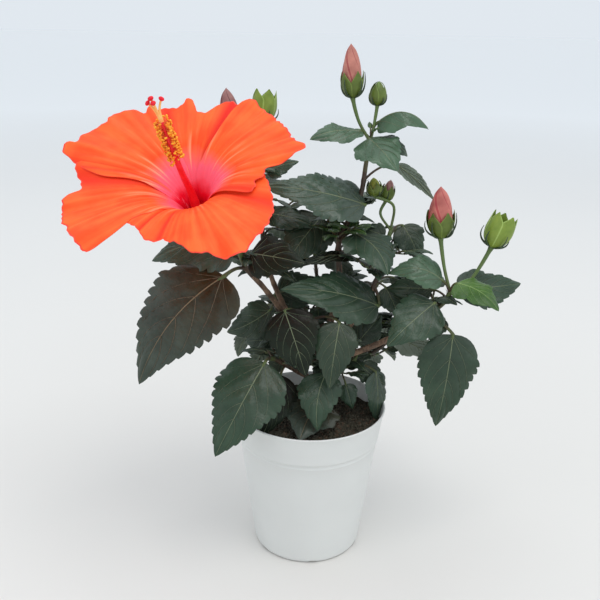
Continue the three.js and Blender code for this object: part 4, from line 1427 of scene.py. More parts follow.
SHOOTS = (
    Shoot(
        "left",
        ((10, 12, 157), (-7, 8, 178), (-22, 2, 197), (-37, -8, 220), (-48, -19, 237), (-52, -28, 253)),
        0.76, (2.5, 1.7),
        leaves=(
            Leaf(0.3, (-122, 4, 26), (96, -154, -47), (-100, 22), width=0.61, cup=0.16, sway=-0.065,
                 tone=Tone.BRONZE),
            Leaf(0.9, (150, 24, 6), (60, 179, -9), (-95, 50), width=0.72, sway=-0.08, tone=Tone.BLUE),
            Leaf(0.8, (-22, 17, 8), (43, -28, 0), (-80, 35), width=0.75, tone=Tone.OLIVE),
        ),
        fill=Fill(11, 3, 0.3, 150, (90, 170), (44, 54)),
        sprigs=(Sprig(0.25, (60, 30, 22), 26), Sprig(0.6, (100, 20, 20), 24)),
        left_out=(5,),
    ),
    Shoot(
        "left_back",
        ((-15, 5, 188), (-21, 9, 198), (-31, 14, 220), (-37, 18, 245), (-39, 20, 278), (-41, 20, 309)),
        0.42, (2.1, 1.4),
        leaves=(
            Leaf(0.86, (-20, 10, 6), (25, 0, 20), (-90, 45), tone=Tone.MID),
            Leaf(0.45, (-30, 0, 6), (36, -10, -12), (-90, 50)),
        ),
        buds=(
            Bud(((180, 20, 16), (170, 60, 8)), (180, 84), 38, 17, wrap=Wrap.MAUVE),
            Bud(((30, 76, 12.5), (0, 86, 14.5)), (0, 86), 23, 16.5, cover=0.98, wrap=Wrap.GREEN,
                crown=True),
        ),
        fill=Fill(23, 5, 0.1, 120, (30, 180), (42, 54)),
        sprigs=(Sprig(0.3, (20, 35, 24), 28), Sprig(0.62, (150, 30, 20), 24),
                Sprig(0.75, (80, 40, 18), 22), Sprig(0.0, (-30, -50, 16), 22)),
    ),
    Shoot(
        "centre",
        ((11.5, 12, 168.3), (16, 14, 186), (21, 13, 206), (21, 12, 224), (20, 14, 248),
         (27, 9, 268), (34, 4, 286), (37, 2, 311), (39, 0, 325)),
        0.38, (2.7, 1.5),
        leaves=(
            Leaf(0.12, (-60, 5, 16), (44, -161, -7), (-90, 80), width=0.4, tone=Tone.OLIVE),
            Leaf(0.2, (-50, 30, 19), (44, -54, -28), (-60, 55), width=0.92, sway=0.1, tone=Tone.MID),
            Leaf(0.25, (146, 34, 21), (50, -132, -36), (-90, 30), width=0.75),
            Leaf(0.52, (-50, 14, 10), (77, -169, 13), (-95, 50), width=0.52, sway=0.01, tone=Tone.BLUE),
            Leaf(0.28, (-140, 40, 5), (21, -148, 57), (-60, 30), width=0.5, tone=Tone.YOUNG),
            Leaf(0.3, (-20, 40, 5), (18, -17, 67), (-120, 30), width=0.5, tone=Tone.YOUNG),
            Leaf(0.72, (7, 26, 26), (38, -24, -39), (100, -20), width=0.27, sway=-0.06, tone=Tone.LIGHT),
            Leaf(0.99, (180, 55, 10), (39, -162, -4), (-90, 86), width=0.56, cup=0.2, twist=-62,
                 tone=Tone.LIGHT),
            Leaf(0.99, (38, 66, 15.5), (36, -13, -3), (-90, 68), arch=0.28, cup=0.8, tone=Tone.LIGHT),
            Leaf(0.97, (-110, 60, 7), (38, -58, -26), (-90, 50), width=0.88, tone=Tone.LIGHT),
            Leaf(0.97, (45, 5, 8), (26, 14, -20), (-60, 30), arch=0.26, tone=Tone.MID),
        ),
        buds=(
            Bud(((180, 59, 17), (180, 73, 16)), (170, 86), 36, 14.5, cover=0.5, wrap=Wrap.CORAL),
            Bud(((45, 75, 13), (40, 80, 12.5)), (60, 86), 16.5, 10.2, cover=0.98, wrap=Wrap.GREEN),
        ),
        fill=Fill(35, 5, 0.08, 80, (30, 150), (36, 48), last=0.62),
        sprigs=(Sprig(0.2, (-105, 30, 15), 24, 6, Tone.YOUNG),
                Sprig(0.26, (-50, 25, 13), 23, 6, Tone.YOUNG), Sprig(0.34, (60, 30, 20), 26),
                Sprig(0.4, (120, 0, 18), 22), Sprig(1.0, (90, 80, 6), 9, 3, Tone.YOUNG)),
    ),
    Shoot(
        "middle",
        ((12, 12, 159), (26, 7, 178), (40, 4, 200), (47, 5, 216), (54, 8, 240), (58, 10, 259)),
        0.58, (2.3, 1.5),
        leaves=(
            Leaf(0.06, (-70, -52, 16), (79, -162, 16), (-95, 50), width=0.53, tone=Tone.MID),
            Leaf(0.12, (10, -25, 9), (25, -32, -60), (-90, 20), width=0.8),
            Leaf(0.97, (37, 16, 13), (30, -38, -55), (-80, 20), width=0.8),
            Leaf(0.86, (120, 10, 5), (22, 162, 15), (-90, 40), width=0.8),
        ),
        buds=(
            Bud(((20, 87, 19), (-170, 27, 16)), (-140, 80), 14, 10, cover=0.8, bracts=4,
                wrap=Wrap.YELLOW),
            Bud(((165, 56, 15), (30, 64, 10)), (0, 79), 16, 9, cover=0.75, bracts=4, wrap=Wrap.MAUVE),
        ),
        fill=Fill(48, 4, 0.02, 60, (30, 130), (36, 46)),
        left_out=(7, 8),
        sprigs=(Sprig(0.3, (-150, 30, 20), 24, 4, Tone.MID), Sprig(0.6, (60, 30, 18), 22),
                Sprig(0.68, (-10, -10, 14), 26, 5, Tone.MID)),
    ),
    Shoot(
        "right",
        ((11, 13, 151), (26, -3, 162), (38, -6, 168), (57, -10, 179), (80, -15, 197), (97, -18, 213),
         (100, -20, 221)),
        0.66, (2.6, 1.6),
        leaves=(
            Leaf(0.97, (-160, 58, 13), (39, 174, 5), (-90, 42), width=0.62, arch=0.2, sway=-0.08,
                 tone=Tone.LIGHT),
            Leaf(0.86, (125, 10, 16), (35, 163, -5), (-90, 25)),
            Leaf(0.98, (-70, 52, 13), (36, -38, -19), (-60, 58), width=0.85, sway=0.06, tone=Tone.FRESH),
            Leaf(0.95, (47, 10, 12), (52, 14, 2), (-90, 45), width=0.6, sway=-0.05, tone=Tone.MID),
            Leaf(0.55, (-102, 42, 14), (48, -149, -31), (-90, 50), width=0.76, tone=Tone.MID),
            Leaf(0.45, (10, -24, 13), (20, -147, -43), (-90, 30)),
            Leaf(0.12, (112, -42, 32), (41, 3, -30), (90, 40), width=0.72, tone=Tone.BLUE),
            Leaf(0.3, (-13, -25, 25), (75, -138, -82), (-85, 15), width=0.59, tone=Tone.MID),
        ),
        buds=(
            Bud(((-175, 73, 20), (180, 79, 22)), (180, 86), 37, 18.3, cover=0.54, wrap=Wrap.PINK),
            Bud(((8, 28, 14), (4, 61, 31)), (10, 69), 26, 18.5, cover=0.98, wrap=Wrap.GREEN, crown=True),
        ),
        fill=Fill(59, 4, 0.15, 70, (50, 150), (38, 48)),
        left_out=(10, 12, 13),
        sprigs=(Sprig(0.2, (60, 15, 16), 22, 4, Tone.MID), Sprig(0.5, (80, 35, 22), 24),
                Sprig(0.7, (120, 15, 14), 20)),
    ),
    Shoot(
        "low_left",
        ((10, 13, 131), (-5, 5, 142), (-18, -9, 156), (-27, -20, 166), (-31, -27, 170)),
        0.55, (2.1, 1.5),
        leaves=(
            Leaf(0.98, (-110, 0, 8), (76, -130, -46), (-100, 28), width=0.68, tone=Tone.MID),
            Leaf(0.2, (-112, -20, 11), (49, -120, -59), (-80, 20), width=0.65, tone=Tone.OLIVE),
        ),
        fill=Fill(61, 2, 0.3, 120, (80, 140), (30, 36)),
        sprigs=(Sprig(0.4, (-60, 25, 16), 24), Sprig(0.7, (100, 20, 14), 20)),
    ),
    Shoot(
        "front",
        ((10, 12, 146), (6, -1, 160), (2, -9, 178), (0, -15, 198)),
        0, (1.9, 1.3),
        leaves=(
            Leaf(0.97, (-32, 7, 24), (49, -112, -69), (-90, 20)),
            Leaf(0.97, (-145, 26, 27), (50, -45, -63), (-95, 20), width=0.75, tone=Tone.OLIVE),
            Leaf(0.35, (-74, -14, 22), (43, -103, -54), (-88, 30), width=0.74, sway=-0.07, tone=Tone.MID),
            Leaf(0.15, (-95, -62, 30), (43, -110, -15), (-92, 66), width=0.98, tone=Tone.BRONZE),
        ),
        sprigs=(Sprig(0.5, (-20, 20, 18), 24), Sprig(0.85, (160, 10, 14), 20),
                Sprig(0.12, (-150, 10, 16), 26, 5)),
    ),
    Shoot(
        "low_right",
        ((11, 13, 139), (24, 9, 146), (36, 4, 157)),
        0, (1.8, 1.3),
        leaves=(
            Leaf(0.97, (80, 45, 14), (30, 20, 47), (-90, 20), width=0.85),
            Leaf(0.9, (-10, -30, 7), (26, -5, -38), (-90, 20), width=0.7),
            Leaf(0.7, (-14, -8, 23), (44, -57, -84), (-50, 10), width=0.5, tone=Tone.BLUE),
            Leaf(0.45, (-72, -24, 16), (20, -55, -61), (-90, 20), width=0.75, tone=Tone.MID),
        ),
        sprigs=(Sprig(0.6, (90, 15, 20), 24), Sprig(0.35, (-40, 5, 14), 20)),
    ),
    Shoot(
        "back_left",
        ((10, 13, 143), (-6, 22, 158), (-22, 27, 176), (-30, 30, 200)),
        0, (1.9, 1.3),
        leaves=(
            Leaf(0.95, (-100, -14, 16), (41, 175, -30), (-90, 30), width=0.7, sway=0.06),
            Leaf(0.6, (-150, -34, 14), (26, 158, -12), (-90, 40), width=0.8),
            Leaf(0.97, (60, 20, 6), (44, 12, 4), (-90, 30), width=0.7),
        ),
        fill=Fill(73, 6, 0.3, 110, (60, 150), (40, 54)),
        sprigs=(Sprig(0.45, (150, 15, 24), 28), Sprig(0.8, (60, 30, 18), 20)),
    ),
    Shoot(
        "back",
        ((11, 14, 150), (10, 36, 168), (6, 50, 198), (2, 52, 232)),
        0, (2.1, 1.3),
        leaves=(
            Leaf(0.5, (-60, 0, 14), (44, -165, -25), (-90, 35), width=0.8),
            Leaf(0.62, (-30, 10, 12), (44, -20, -20), (-90, 40), width=0.75),
            Leaf(0.4, (-100, -10, 10), (40, -110, -60), (-90, 20), width=0.8),
        ),
        fill=Fill(85, 9, 0.3, 90, (20, 170), (44, 56)),
        left_out=(0, 2, 5),
        sprigs=(Sprig(0.35, (150, 10, 24), 28), Sprig(0.6, (30, 20, 24), 28), Sprig(0.95, (90, 60, 20), 24),
                Sprig(0.5, (-150, 0, 14), 26)),
    ),
    Shoot(
        "back_right",
        ((11, 13, 145), (28, 34, 156), (46, 44, 180), (54, 46, 212)),
        0, (2.0, 1.3),
        fill=Fill(97, 9, 0.3, 60, (10, 130), (44, 54)),
        left_out=(1, 2, 4),
        sprigs=(Sprig(0.4, (100, 10, 24), 28), Sprig(0.7, (0, 20, 22), 26), Sprig(0.95, (60, 60, 18), 24),
                Sprig(0.6, (-30, 0, 20), 26)),
    ),
    Shoot(
        "side_right",
        ((11, 13, 136), (34, 20, 146), (56, 27, 156), (72, 30, 170)),
        0, (1.8, 1.2),
        fill=Fill(101, 5, 0.4, 80, (45, 125), (36, 46)),
        left_out=(3,),
        sprigs=(Sprig(0.5, (20, 10, 20), 24), Sprig(0.9, (40, 30, 16), 22)),
    ),
)


# Wood


@dataclass
class Wood:
    """The trunk and its boughs, with the bark's relief."""

    foot: Triple = (11, 14, 108.3)
    tip: Triple = (11.5, 12, 168)
    flare_radius: float = 7.6
    radius: float = 4.7
    tip_radius: float = 3.5
    flare_height: float = 12
    flare_fade: float = 2.2
    sway: Pair = (-0.8, -1)
    step: float = 0.9 * MM
    relief: float = 0.09
    # The bark's broad and fine pattern: how often round the wood and along a metre of it
    coarse: Pair = (2.6, 130)
    fine: Pair = (6.5, 420)
    ribs: int = 4
    rib_depth: float = 0.10
    trunk_sides: int = 40
    bough_sides: int = 22
    # Where a bough leaves the wood: how much thicker it is, and over what length
    collar: Pair = (0.4, 7)
    # The rings that shed leaves left: how thick and long they are, and how far apart
    scar: Pair = (0.13, 1.2)
    scar_gap: float = 14
    first_scar: float = 3

    def relief_at(self, path: Array, sides: int, seed: float) -> Array:
        """Gives the bark's relief round each point of a path, as a share of the radius.

        Args:
            path: The middle line.
            sides: Places round it.
            seed: Shifts the pattern.

        Returns:
            A factor near one for each point and side.
        """
        heights = np.concatenate([[0.0], np.cumsum(np.linalg.norm(np.diff(path, axis=0), axis=1))])
        factor = np.ones((len(path), sides))
        (broad, tall), (thin, short) = self.coarse, self.fine
        for i, height in enumerate(heights):
            for j, angle in enumerate(around(sides)):
                c, s = math.cos(angle), math.sin(angle)
                near = noise.noise(Vector((broad * c + seed, broad * s, height * tall)))
                close = noise.noise(Vector((thin * c, thin * s + seed, height * short)))
                factor[i, j] += self.relief * (near + 0.5 * close)
        return factor

    def trunk(self) -> None:
        """Makes the trunk, flared at the foot and rounded off inside the fork."""
        x, y, z = self.foot
        above = blend((x, y, z + self.flare_height), self.tip, 0.7)
        knots = (self.foot, (x, y, z + self.flare_height / 2),
                 (x + self.sway[0], y + self.sway[1], z + 2 * self.flare_height), above, self.tip)
        line = Spline([tuple(MM * n for n in knot) for knot in knots])
        shares = np.linspace(0, 1, round(line.length / self.step))
        path = line.at(shares)
        flare = np.exp(-self.flare_fade * shares * line.length / (self.flare_height * MM))
        radii = flare * (self.flare_radius - self.radius)
        radii = (radii + self.radius + (self.tip_radius - self.radius) * shares) * MM
        ribs = np.cos(self.ribs * around(self.trunk_sides) + 0.7)
        radii = radii[:, None] * self.relief_at(path, self.trunk_sides, 3.0)
        mesher = Mesher("bark_trunk")
        mesher.tube(path, radii * (1 + self.rib_depth * flare[:, None] * ribs), self.trunk_sides,
                    BARK.material())
        mesher.piece("bark", "trunk")

    def boughs(self) -> None:
        """Makes every bough, with the collar where it leaves the wood before it."""
        mesher = Mesher("bark_boughs")
        names = []
        swell, spread = self.collar
        thick, long = self.scar
        for number, shoot in enumerate(SHOOTS):
            if not shoot.bare:
                continue
            names.append(f"limb_{shoot.name}")
            length = shoot.spline.length
            shares = np.linspace(0, shoot.bare + 0.012, round(shoot.bare * length / self.step))
            path = shoot.spline.at(shares)
            collar = 1 + swell * np.exp(-((shares * length / (spread * MM)) ** 2))
            scars = np.ones_like(shares)
            for k in range(1, int(shoot.bare * length / (self.scar_gap * MM))):
                away = shares * length / MM - self.scar_gap * k - self.first_scar
                scars += thick * np.exp(-(away / long) ** 2)
            radii = shoot.radius(shares) * collar * scars
            relief = self.relief_at(path, self.bough_sides, 7.0 * number)
            mesher.tube(path, radii[:, None] * relief, self.bough_sides, BARK.material())
        mesher.piece("bark", *names)


# Flower


@dataclass(frozen=True)
class Petal:
    """One petal: its middle bearing, how far it lies over its neighbours, and its outline.

    outline lists the edge as bearings round the flower and reaches, from one side to the other,
    folds lists the bearings of its creases with their widths, where it is sunk and painted with shade,
    and dull is how much of the glow it lacks.
    """

    turn: float
    lift: float
    outline: tuple[Pair, ...]
    folds: tuple[Pair, ...] = ()
    dull: float = 0.0

    # Turns of the outline count this much in the length of its curve, against reaches
    ARC = 60.0

    def edge(self, v: Array) -> tuple[Array, Array]:
        """Works out the petal's frilled edge.

        Args:
            v: Places across the petal.

        Returns:
            The edge's bearings, in radians, and its reaches.
        """
        found = Spline([(math.radians(turn) * self.ARC, reach, 0.0) for turn, reach in self.outline])
        turn, reach, _ = found.at((v + 1) / 2).T
        turn = turn / self.ARC
        frill = 0.45 * np.sin(74 * turn + 2 * np.sin(11 * turn)) + 0.35 * np.sin(41 * turn + self.turn)
        return turn, reach + frill * smooth(30, 60, reach)

    def fold(self, radius: Array, turn: Array) -> Array:
        """Gives how deep in a crease each point of the petal lies, for sinking it and for painted shade.

        Args:
            radius: The points' radii in millimetres.
            turn: Their bearings in radians.

        Returns:
            Depths from 0 to 1.
        """
        deep = np.zeros_like(turn)
        for middle, wide in self.folds:
            deep = deep + np.exp(-((np.degrees(turn) - middle) / wide) ** 2)
        return deep * smooth(7, 24, radius)


@dataclass
class Bloom:
    """The open flower: five overlapping petals, column, calyx and stalk."""

    throat: Triple = (-79, -60, 295)
    axis_bearing: Pair = (-108, 58)
    column_bearing: Pair = (-121, 63)
    shift: Pair = (-3.5, 13.0)
    shift_fade: float = 60
    depth: float = 28
    rise: float = 21
    mouth: float = 4.2
    fade: float = 14
    fan: float = 48.7
    crease: float = 1.1
    thickness: float = 0.5
    parts: int = 5
    sepal: float = 22
    leaflets: int = 7
    # A leaflet's way, as distance from the axis and height above the calyx's foot
    leaflet: tuple[Pair, ...] = ((1.8, 0), (8, 0.5), (11.5, 13))
    column_reach: float = 68
    anthers: Pair = (31, 57.5)
    # Each pad's place from the column's tip: right, away from the front and up
    pads: tuple[Triple, ...] = ((-2.4, -1.0, 4.6), (-4.7, 0.5, 1.8), (-1.0, -2.0, 2.0), (3.6, 0.0, 4.4),
                                (-3.4, 3.0, 4.2))
    pad_size: Triple = (1.75, 1.75, 1.25)
    petals: tuple[Petal, ...] = (
        Petal(22, 2, (
            (-30, 18), (-29, 27), (-28, 38), (-26, 48), (-21, 49.5), (-15, 48), (-11, 52), (-5, 53),
            (-2.5, 61.5), (2, 71), (6.5, 78), (11, 76), (14, 72.5), (27, 72.5), (35, 72), (41, 73.5),
            (46, 74), (52, 76), (58, 78.5), (62, 77), (63.7, 68), (64.4, 52), (65, 38), (68, 27),
            (80, 15)), ((-24, 6),)),
        Petal(90, 0, (
            (40, 16), (46, 33), (52, 56), (58, 66), (66, 73), (72, 74), (76, 70.5), (80, 63.5),
            (87, 63), (90, 71), (92.5, 79.5), (94.5, 79), (96.5, 74), (100, 73), (104, 77.5),
            (108, 82.5), (113, 79), (120, 66), (126, 50), (134, 30), (140, 16)),
            ((66.5, 2), (69, 5), (107, 4))),
        Petal(135, 0.5, (
            (95, 16), (104, 30), (109, 45), (110.5, 70), (112, 84), (114, 86), (116.5, 82.5),
            (120, 87.5), (125, 90.5), (128, 93), (131, 92), (134, 88), (138, 90), (146, 91),
            (149.5, 89), (151.8, 88.5), (152.6, 94), (154.5, 95.5), (157.5, 93.5), (160, 87),
            (163.5, 77), (167.5, 65), (170, 53), (171, 38), (174, 27), (184, 15)), ((163, 3),)),
        Petal(195, 0, (
            (150, 16), (152, 32), (154, 50), (157, 66), (160, 76), (163, 79), (168, 75.5),
            (174, 70.5), (180, 68), (183.5, 76.5), (189, 78.5), (197, 79), (203, 79.5), (207, 78),
            (212, 78.5), (222, 78.5), (227, 79.5), (230, 77), (230.3, 67), (229, 59), (227.5, 50),
            (231, 38), (239, 26), (247, 16)), ((172, 8),), 0.06),
        Petal(295, -0.4, (
            (214, 15), (216, 28), (219, 40), (225, 47), (239, 48), (246, 52), (252, 55), (256, 53.5),
            (260, 52), (266, 54.5), (273, 58.5), (278, 65.5), (281, 70), (287, 73), (291, 79),
            (296, 84), (301, 84.5), (306, 81), (316, 74.5), (323, 71), (330, 66.5), (338, 60.5),
            (347, 55), (355, 50), (362, 41), (370, 27), (380, 15)),
            ((241, 2), (258, 3), (331, 6)), 0.16),
    )
    rows: int = 40
    columns: int = 150

    def __post_init__(self) -> None:
        """Works out the flower's own directions."""
        self.axis = bearing(*self.axis_bearing)
        self.right = unit(np.array([1.0, 0, 0]) - self.axis * self.axis[0])
        self.up = np.cross(self.axis, self.right)
        self.heart = np.array(self.throat) * MM
        self.lead = bearing(*self.column_bearing)

    def along(self, height: float | Array, radius: float | Array = 0.0) -> Array:
        """Gives the middle of the flower at a height and a radius, in millimetres.

        Args:
            height: Millimetres above the throat, along the axis.
            radius: Millimetres from the axis.

        Returns:
            The point, in metres.
        """
        lean = (1 - np.clip(np.asarray(radius) / self.shift_fade, 0, 1)) ** 2
        aside = self.right * self.shift[0] + self.up * self.shift[1]
        return self.heart + (self.axis * np.asarray(height)[..., None] + aside * lean[..., None]) * MM

    def spoke(self, turn: float | Array) -> Array:
        """Gives the direction away from the flower's axis at a turn in radians."""
        return self.right * np.cos(turn)[..., None] + self.up * np.sin(turn)[..., None]

    def funnel(self, radius: Array) -> Array:
        """Gives the height of the petals' trumpet above the throat at a radius, in millimetres."""
        return self.rise - (self.rise + self.depth) * np.exp((self.mouth - radius) / self.fade)

    def waves(self, radius: Array, turn: Array) -> Array:
        """Gives the waves and pleats that all the petals share.

        Args:
            radius: Radii in millimetres.
            turn: Bearings in radians.

        Returns:
            Heights in millimetres.
        """
        wide = 1.9 * np.sin(5 * turn + 1.1) + 0.9 * np.sin(12 * turn + 0.4)
        frill = 0.8 * np.sin(27 * turn + 1.3 * np.sin(6 * turn))
        pleat = 0.28 * np.sin(46 * turn + 1.5 * np.sin(9 * turn))
        broad = wide * smooth(18, 74, radius) + frill * smooth(52, 82, radius)
        return broad + pleat * smooth(6, 25, radius)

    def surface(self, petal: Petal, u: Array, v: Array) -> tuple[Array, Array, Array]:
        """Gives a petal's middle surface.

        Args:
            petal: The petal.
            u: Shares from the throat to the edge, by row.
            v: Places across it from -1 to 1, by column.

        Returns:
            The points, with their radii in millimetres and bearings in radians.
        """
        turn, reach = petal.edge(v)
        u = u[:, None]
        radius = self.mouth + (reach - self.mouth) * u
        start = math.radians(petal.turn) + math.radians(self.fan) * v
        turn = start + (turn - start) * smooth(0, 0.85, u)
        height = self.funnel(radius) + self.waves(radius, turn) + petal.lift * np.minimum(1, 1.6 * u)
        height = height - self.crease * petal.fold(radius, turn)
        return self.along(height, radius) + self.spoke(turn) * radius[..., None] * MM, radius, turn

    def make_petals(self) -> None:
        """Makes the five petals, each with a darker rim that is partly painted shade."""
        mesher = Mesher("petals")
        u = np.append(np.linspace(0, 0.985, self.rows) ** 0.95, 1.0)
        v = np.linspace(-1, 1, self.columns)
        slots = np.full((self.rows, self.columns - 1), mesher.slot(PETAL.material()))
        # The last row, round the whole outline, takes the darker rim, partly as painted shade along
        # overlapping edges
        slots[-1] = mesher.slot(PETAL_RIM.material())
        for index, petal in enumerate(self.petals):
            middle, radius, turn = self.surface(petal, u, v)
            down, over = np.gradient(middle, axis=(0, 1))
            # The crease depth also goes to the finish, which paints shade with it
            values = {"reach": radius / 80 + petal.dull, "across": turn + 1.3 * index,
                      "fold": petal.fold(radius, turn)}
            mesher.sheet(middle, unit(np.cross(down, over)), self.thickness * MM, slots,
                         PETAL.material(), values)
        mesher.piece("petals", "bloom")

    def stalk_points(self) -> list[Array]:
        """Works out the way of the stalk, from its stem's tip to the calyx.

        Returns:
            Its control points.
        """
        stem = SHOOTS[0].spline
        start, lead = stem.at(1.0), stem.tangent(1.0)
        ends = [self.along(-self.depth - 16), self.along(-self.depth)]
        return [start - lead * MM, start + lead * 8 * MM, *ends]

    def make_calyx(self) -> None:
        """Makes the stalk, the cup with its pointed sepals and the leaflets below it."""
        mesher = Mesher("bloom_calyx")
        shares = np.linspace(0, 1, 26)
        swell = 1.5 + 0.9 * shares + 0.5 * np.exp(-((shares - 0.35) / 0.05) ** 2)
        mesher.tube(bezier(self.stalk_points(), shares), swell * MM, 14, rind(0.3 - 0.3 * shares))
        self.add_sepals(mesher)
        foot = self.along(-self.depth - 1)
        shares = np.linspace(0, 1, 10)
        for k in range(self.leaflets):
            side = self.spoke(TURN * (k + 0.3 * math.sin(5 * k)) / self.leaflets)
            controls = [foot + (side * out + self.axis * high) * MM for out, high in self.leaflet]
            girth = (0.8 - 0.68 * shares ** 1.5) * MM
            mesher.tube(bezier(controls, shares), girth, 6, BRACT.material(), flat=0.7)
        mesher.piece("foliage")

    def add_sepals(self, mesher: Mesher) -> None:
        """Adds the sepals, which lie against the outside of the petals' trumpet.

        Args:
            mesher: The calyx.
        """
        green = SEPAL[0].material()
        u, v = np.meshgrid(np.linspace(0, 1, 18), np.linspace(-1, 1, 9), indexing="ij")
        height = self.sepal * u - self.depth - 2
        below = self.rise - np.maximum(height, -self.depth)
        wall = self.mouth + self.fade * np.log((self.rise + self.depth) / below)
        out = 2.4 + (wall - 1.2) * smooth(0, 0.14, u) + 0.5 * (1 - np.abs(v)) ** 2
        out = out + 1.6 * u ** 4 + 0.12 * (v + 1)
        spread = 0.68 * (1 - smooth(0.3, 1.02, u)) ** 0.8 + 0.015
        for k in range(self.parts):
            spoke = self.spoke(TURN * (k + 0.2) / self.parts + spread * v)
            points = self.along(height, out) + spoke * out[..., None] * MM
            mesher.sheet(points, spoke, self.thickness * MM, mesher.slot(green), green)

    @cached_property
    def column(self) -> Spline:
        """The middle line of the column, from deep in the throat to its tip.

        Returns:
            The line.
        """
        reaches = (22, self.column_reach / 2, self.column_reach)
        steps = [self.heart + self.lead * reach * MM for reach in reaches]
        return Spline([self.along(-self.depth + 3), self.along(-6), *steps])

    @property
    def zone(self) -> list[float]:
        """The shares of the column's line between which its pollen stands."""
        return [1 - (self.column_reach - reach) * MM / self.column.length for reach in self.anthers]

    def make_column(self) -> None:
        """Makes the column, and the five pale arms with red pads that leave its tip."""
        low, high = self.zone
        line, mesher = self.column, Mesher("column")
        shares = np.linspace(0, high, 44)
        radii = 1.5 + 2.3 * np.exp(-shares * 3.2) - 0.3 * smooth(low, high, shares)
        mesher.tube(line.at(shares), radii * MM, 20, COLUMN.material())
        tip, pad = line.at(1.0), Ball(12, 8)
        steps = np.linspace(0, 1, 13)
        for place in self.pads:
            end = tip + np.array(place) * MM
            aside = end - tip
            start = line.at(high - 0.03) + unit(aside) * 0.5 * MM
            bends = [line.at(high + 0.06) + aside * 0.12, line.at(0.97) + aside * 0.2]
            arm = bezier([start, *bends, end], steps)
            mesher.tube(arm, (0.95 - 0.35 * steps) * MM, 8, STYLE.material())
            pad.add(mesher, end, unit(aside + self.lead * 2 * MM), np.array(self.pad_size) * MM,
                    STIGMA.material())
        mesher.piece("petals")

    def make_anthers(self) -> None:
        """Makes the stalked grains of pollen in two broad rows up the column, in two colours."""
        ground = Mesher("anther_zone")
        path = self.column.at(np.linspace(*self.zone, 14))
        side, front = frames(path, np.array([0, -1.0, 0]))
        sweep = np.radians(np.linspace(-62, 62, 9))[:, None]
        for hand in (-1, 1):
            spokes = hand * side[:, None] * np.cos(sweep) + front[:, None] * np.sin(sweep)
            ground.patch(path[:, None] + spokes * 1.3 * MM, COLUMN.material(), hand < 0)
        zone = ground.mesh()
        for seed, finish, density in ((4, POLLEN, 1.6e6), (9, ORANGE_POLLEN, 0.9e6)):
            stalk, head = Mesher("anther_stalk"), Mesher("anther_head")
            path = np.array([[0, 0, -0.4], [0.2, 0, 1.4], [0.5, 0.2, 3.1]]) * MM
            stalk.tube(path, np.full(3, 0.15 * MM), 4, FILAMENT.material())
            Ball(7, 3).add(head, path[-1], UP, np.array([0.95, 0.66, 0.56]) * MM, finish.material())
            for grain, kind in ((stalk, FILAMENT), (head, finish)):
                scatter = Scatter(f"{grain.name}_{finish.name}", density, seed, (0.75, 1.3), 0.6, kind)
                scatter.over(zone, grain.mesh(), "petals")


@dataclass(frozen=True)
class Ball:
    """A rounded grain made of rings."""

    sides: int
    rings: int

    def add(self, mesher: Mesher, centre: Array, axis: Array, size: Array,
            material: Material) -> None:
        """Adds one to a piece.

        Args:
            mesher: The piece.
            centre: Its centre.
            axis: The direction of its third half axis.
            size: Its three half axes.
            material: Its material.
        """
        tilt = np.linspace(-math.pi / 2, math.pi / 2, self.rings + 2)[1:-1, None]
        rings = circled(np.cos(tilt), around(self.sides), np.sin(tilt)) * size
        start, end = turned(np.array([[0, 0, -size[2]], [0, 0, size[2]]]), centre, axis)
        mesher.skin(turned(rings, centre, axis), start, end, material)


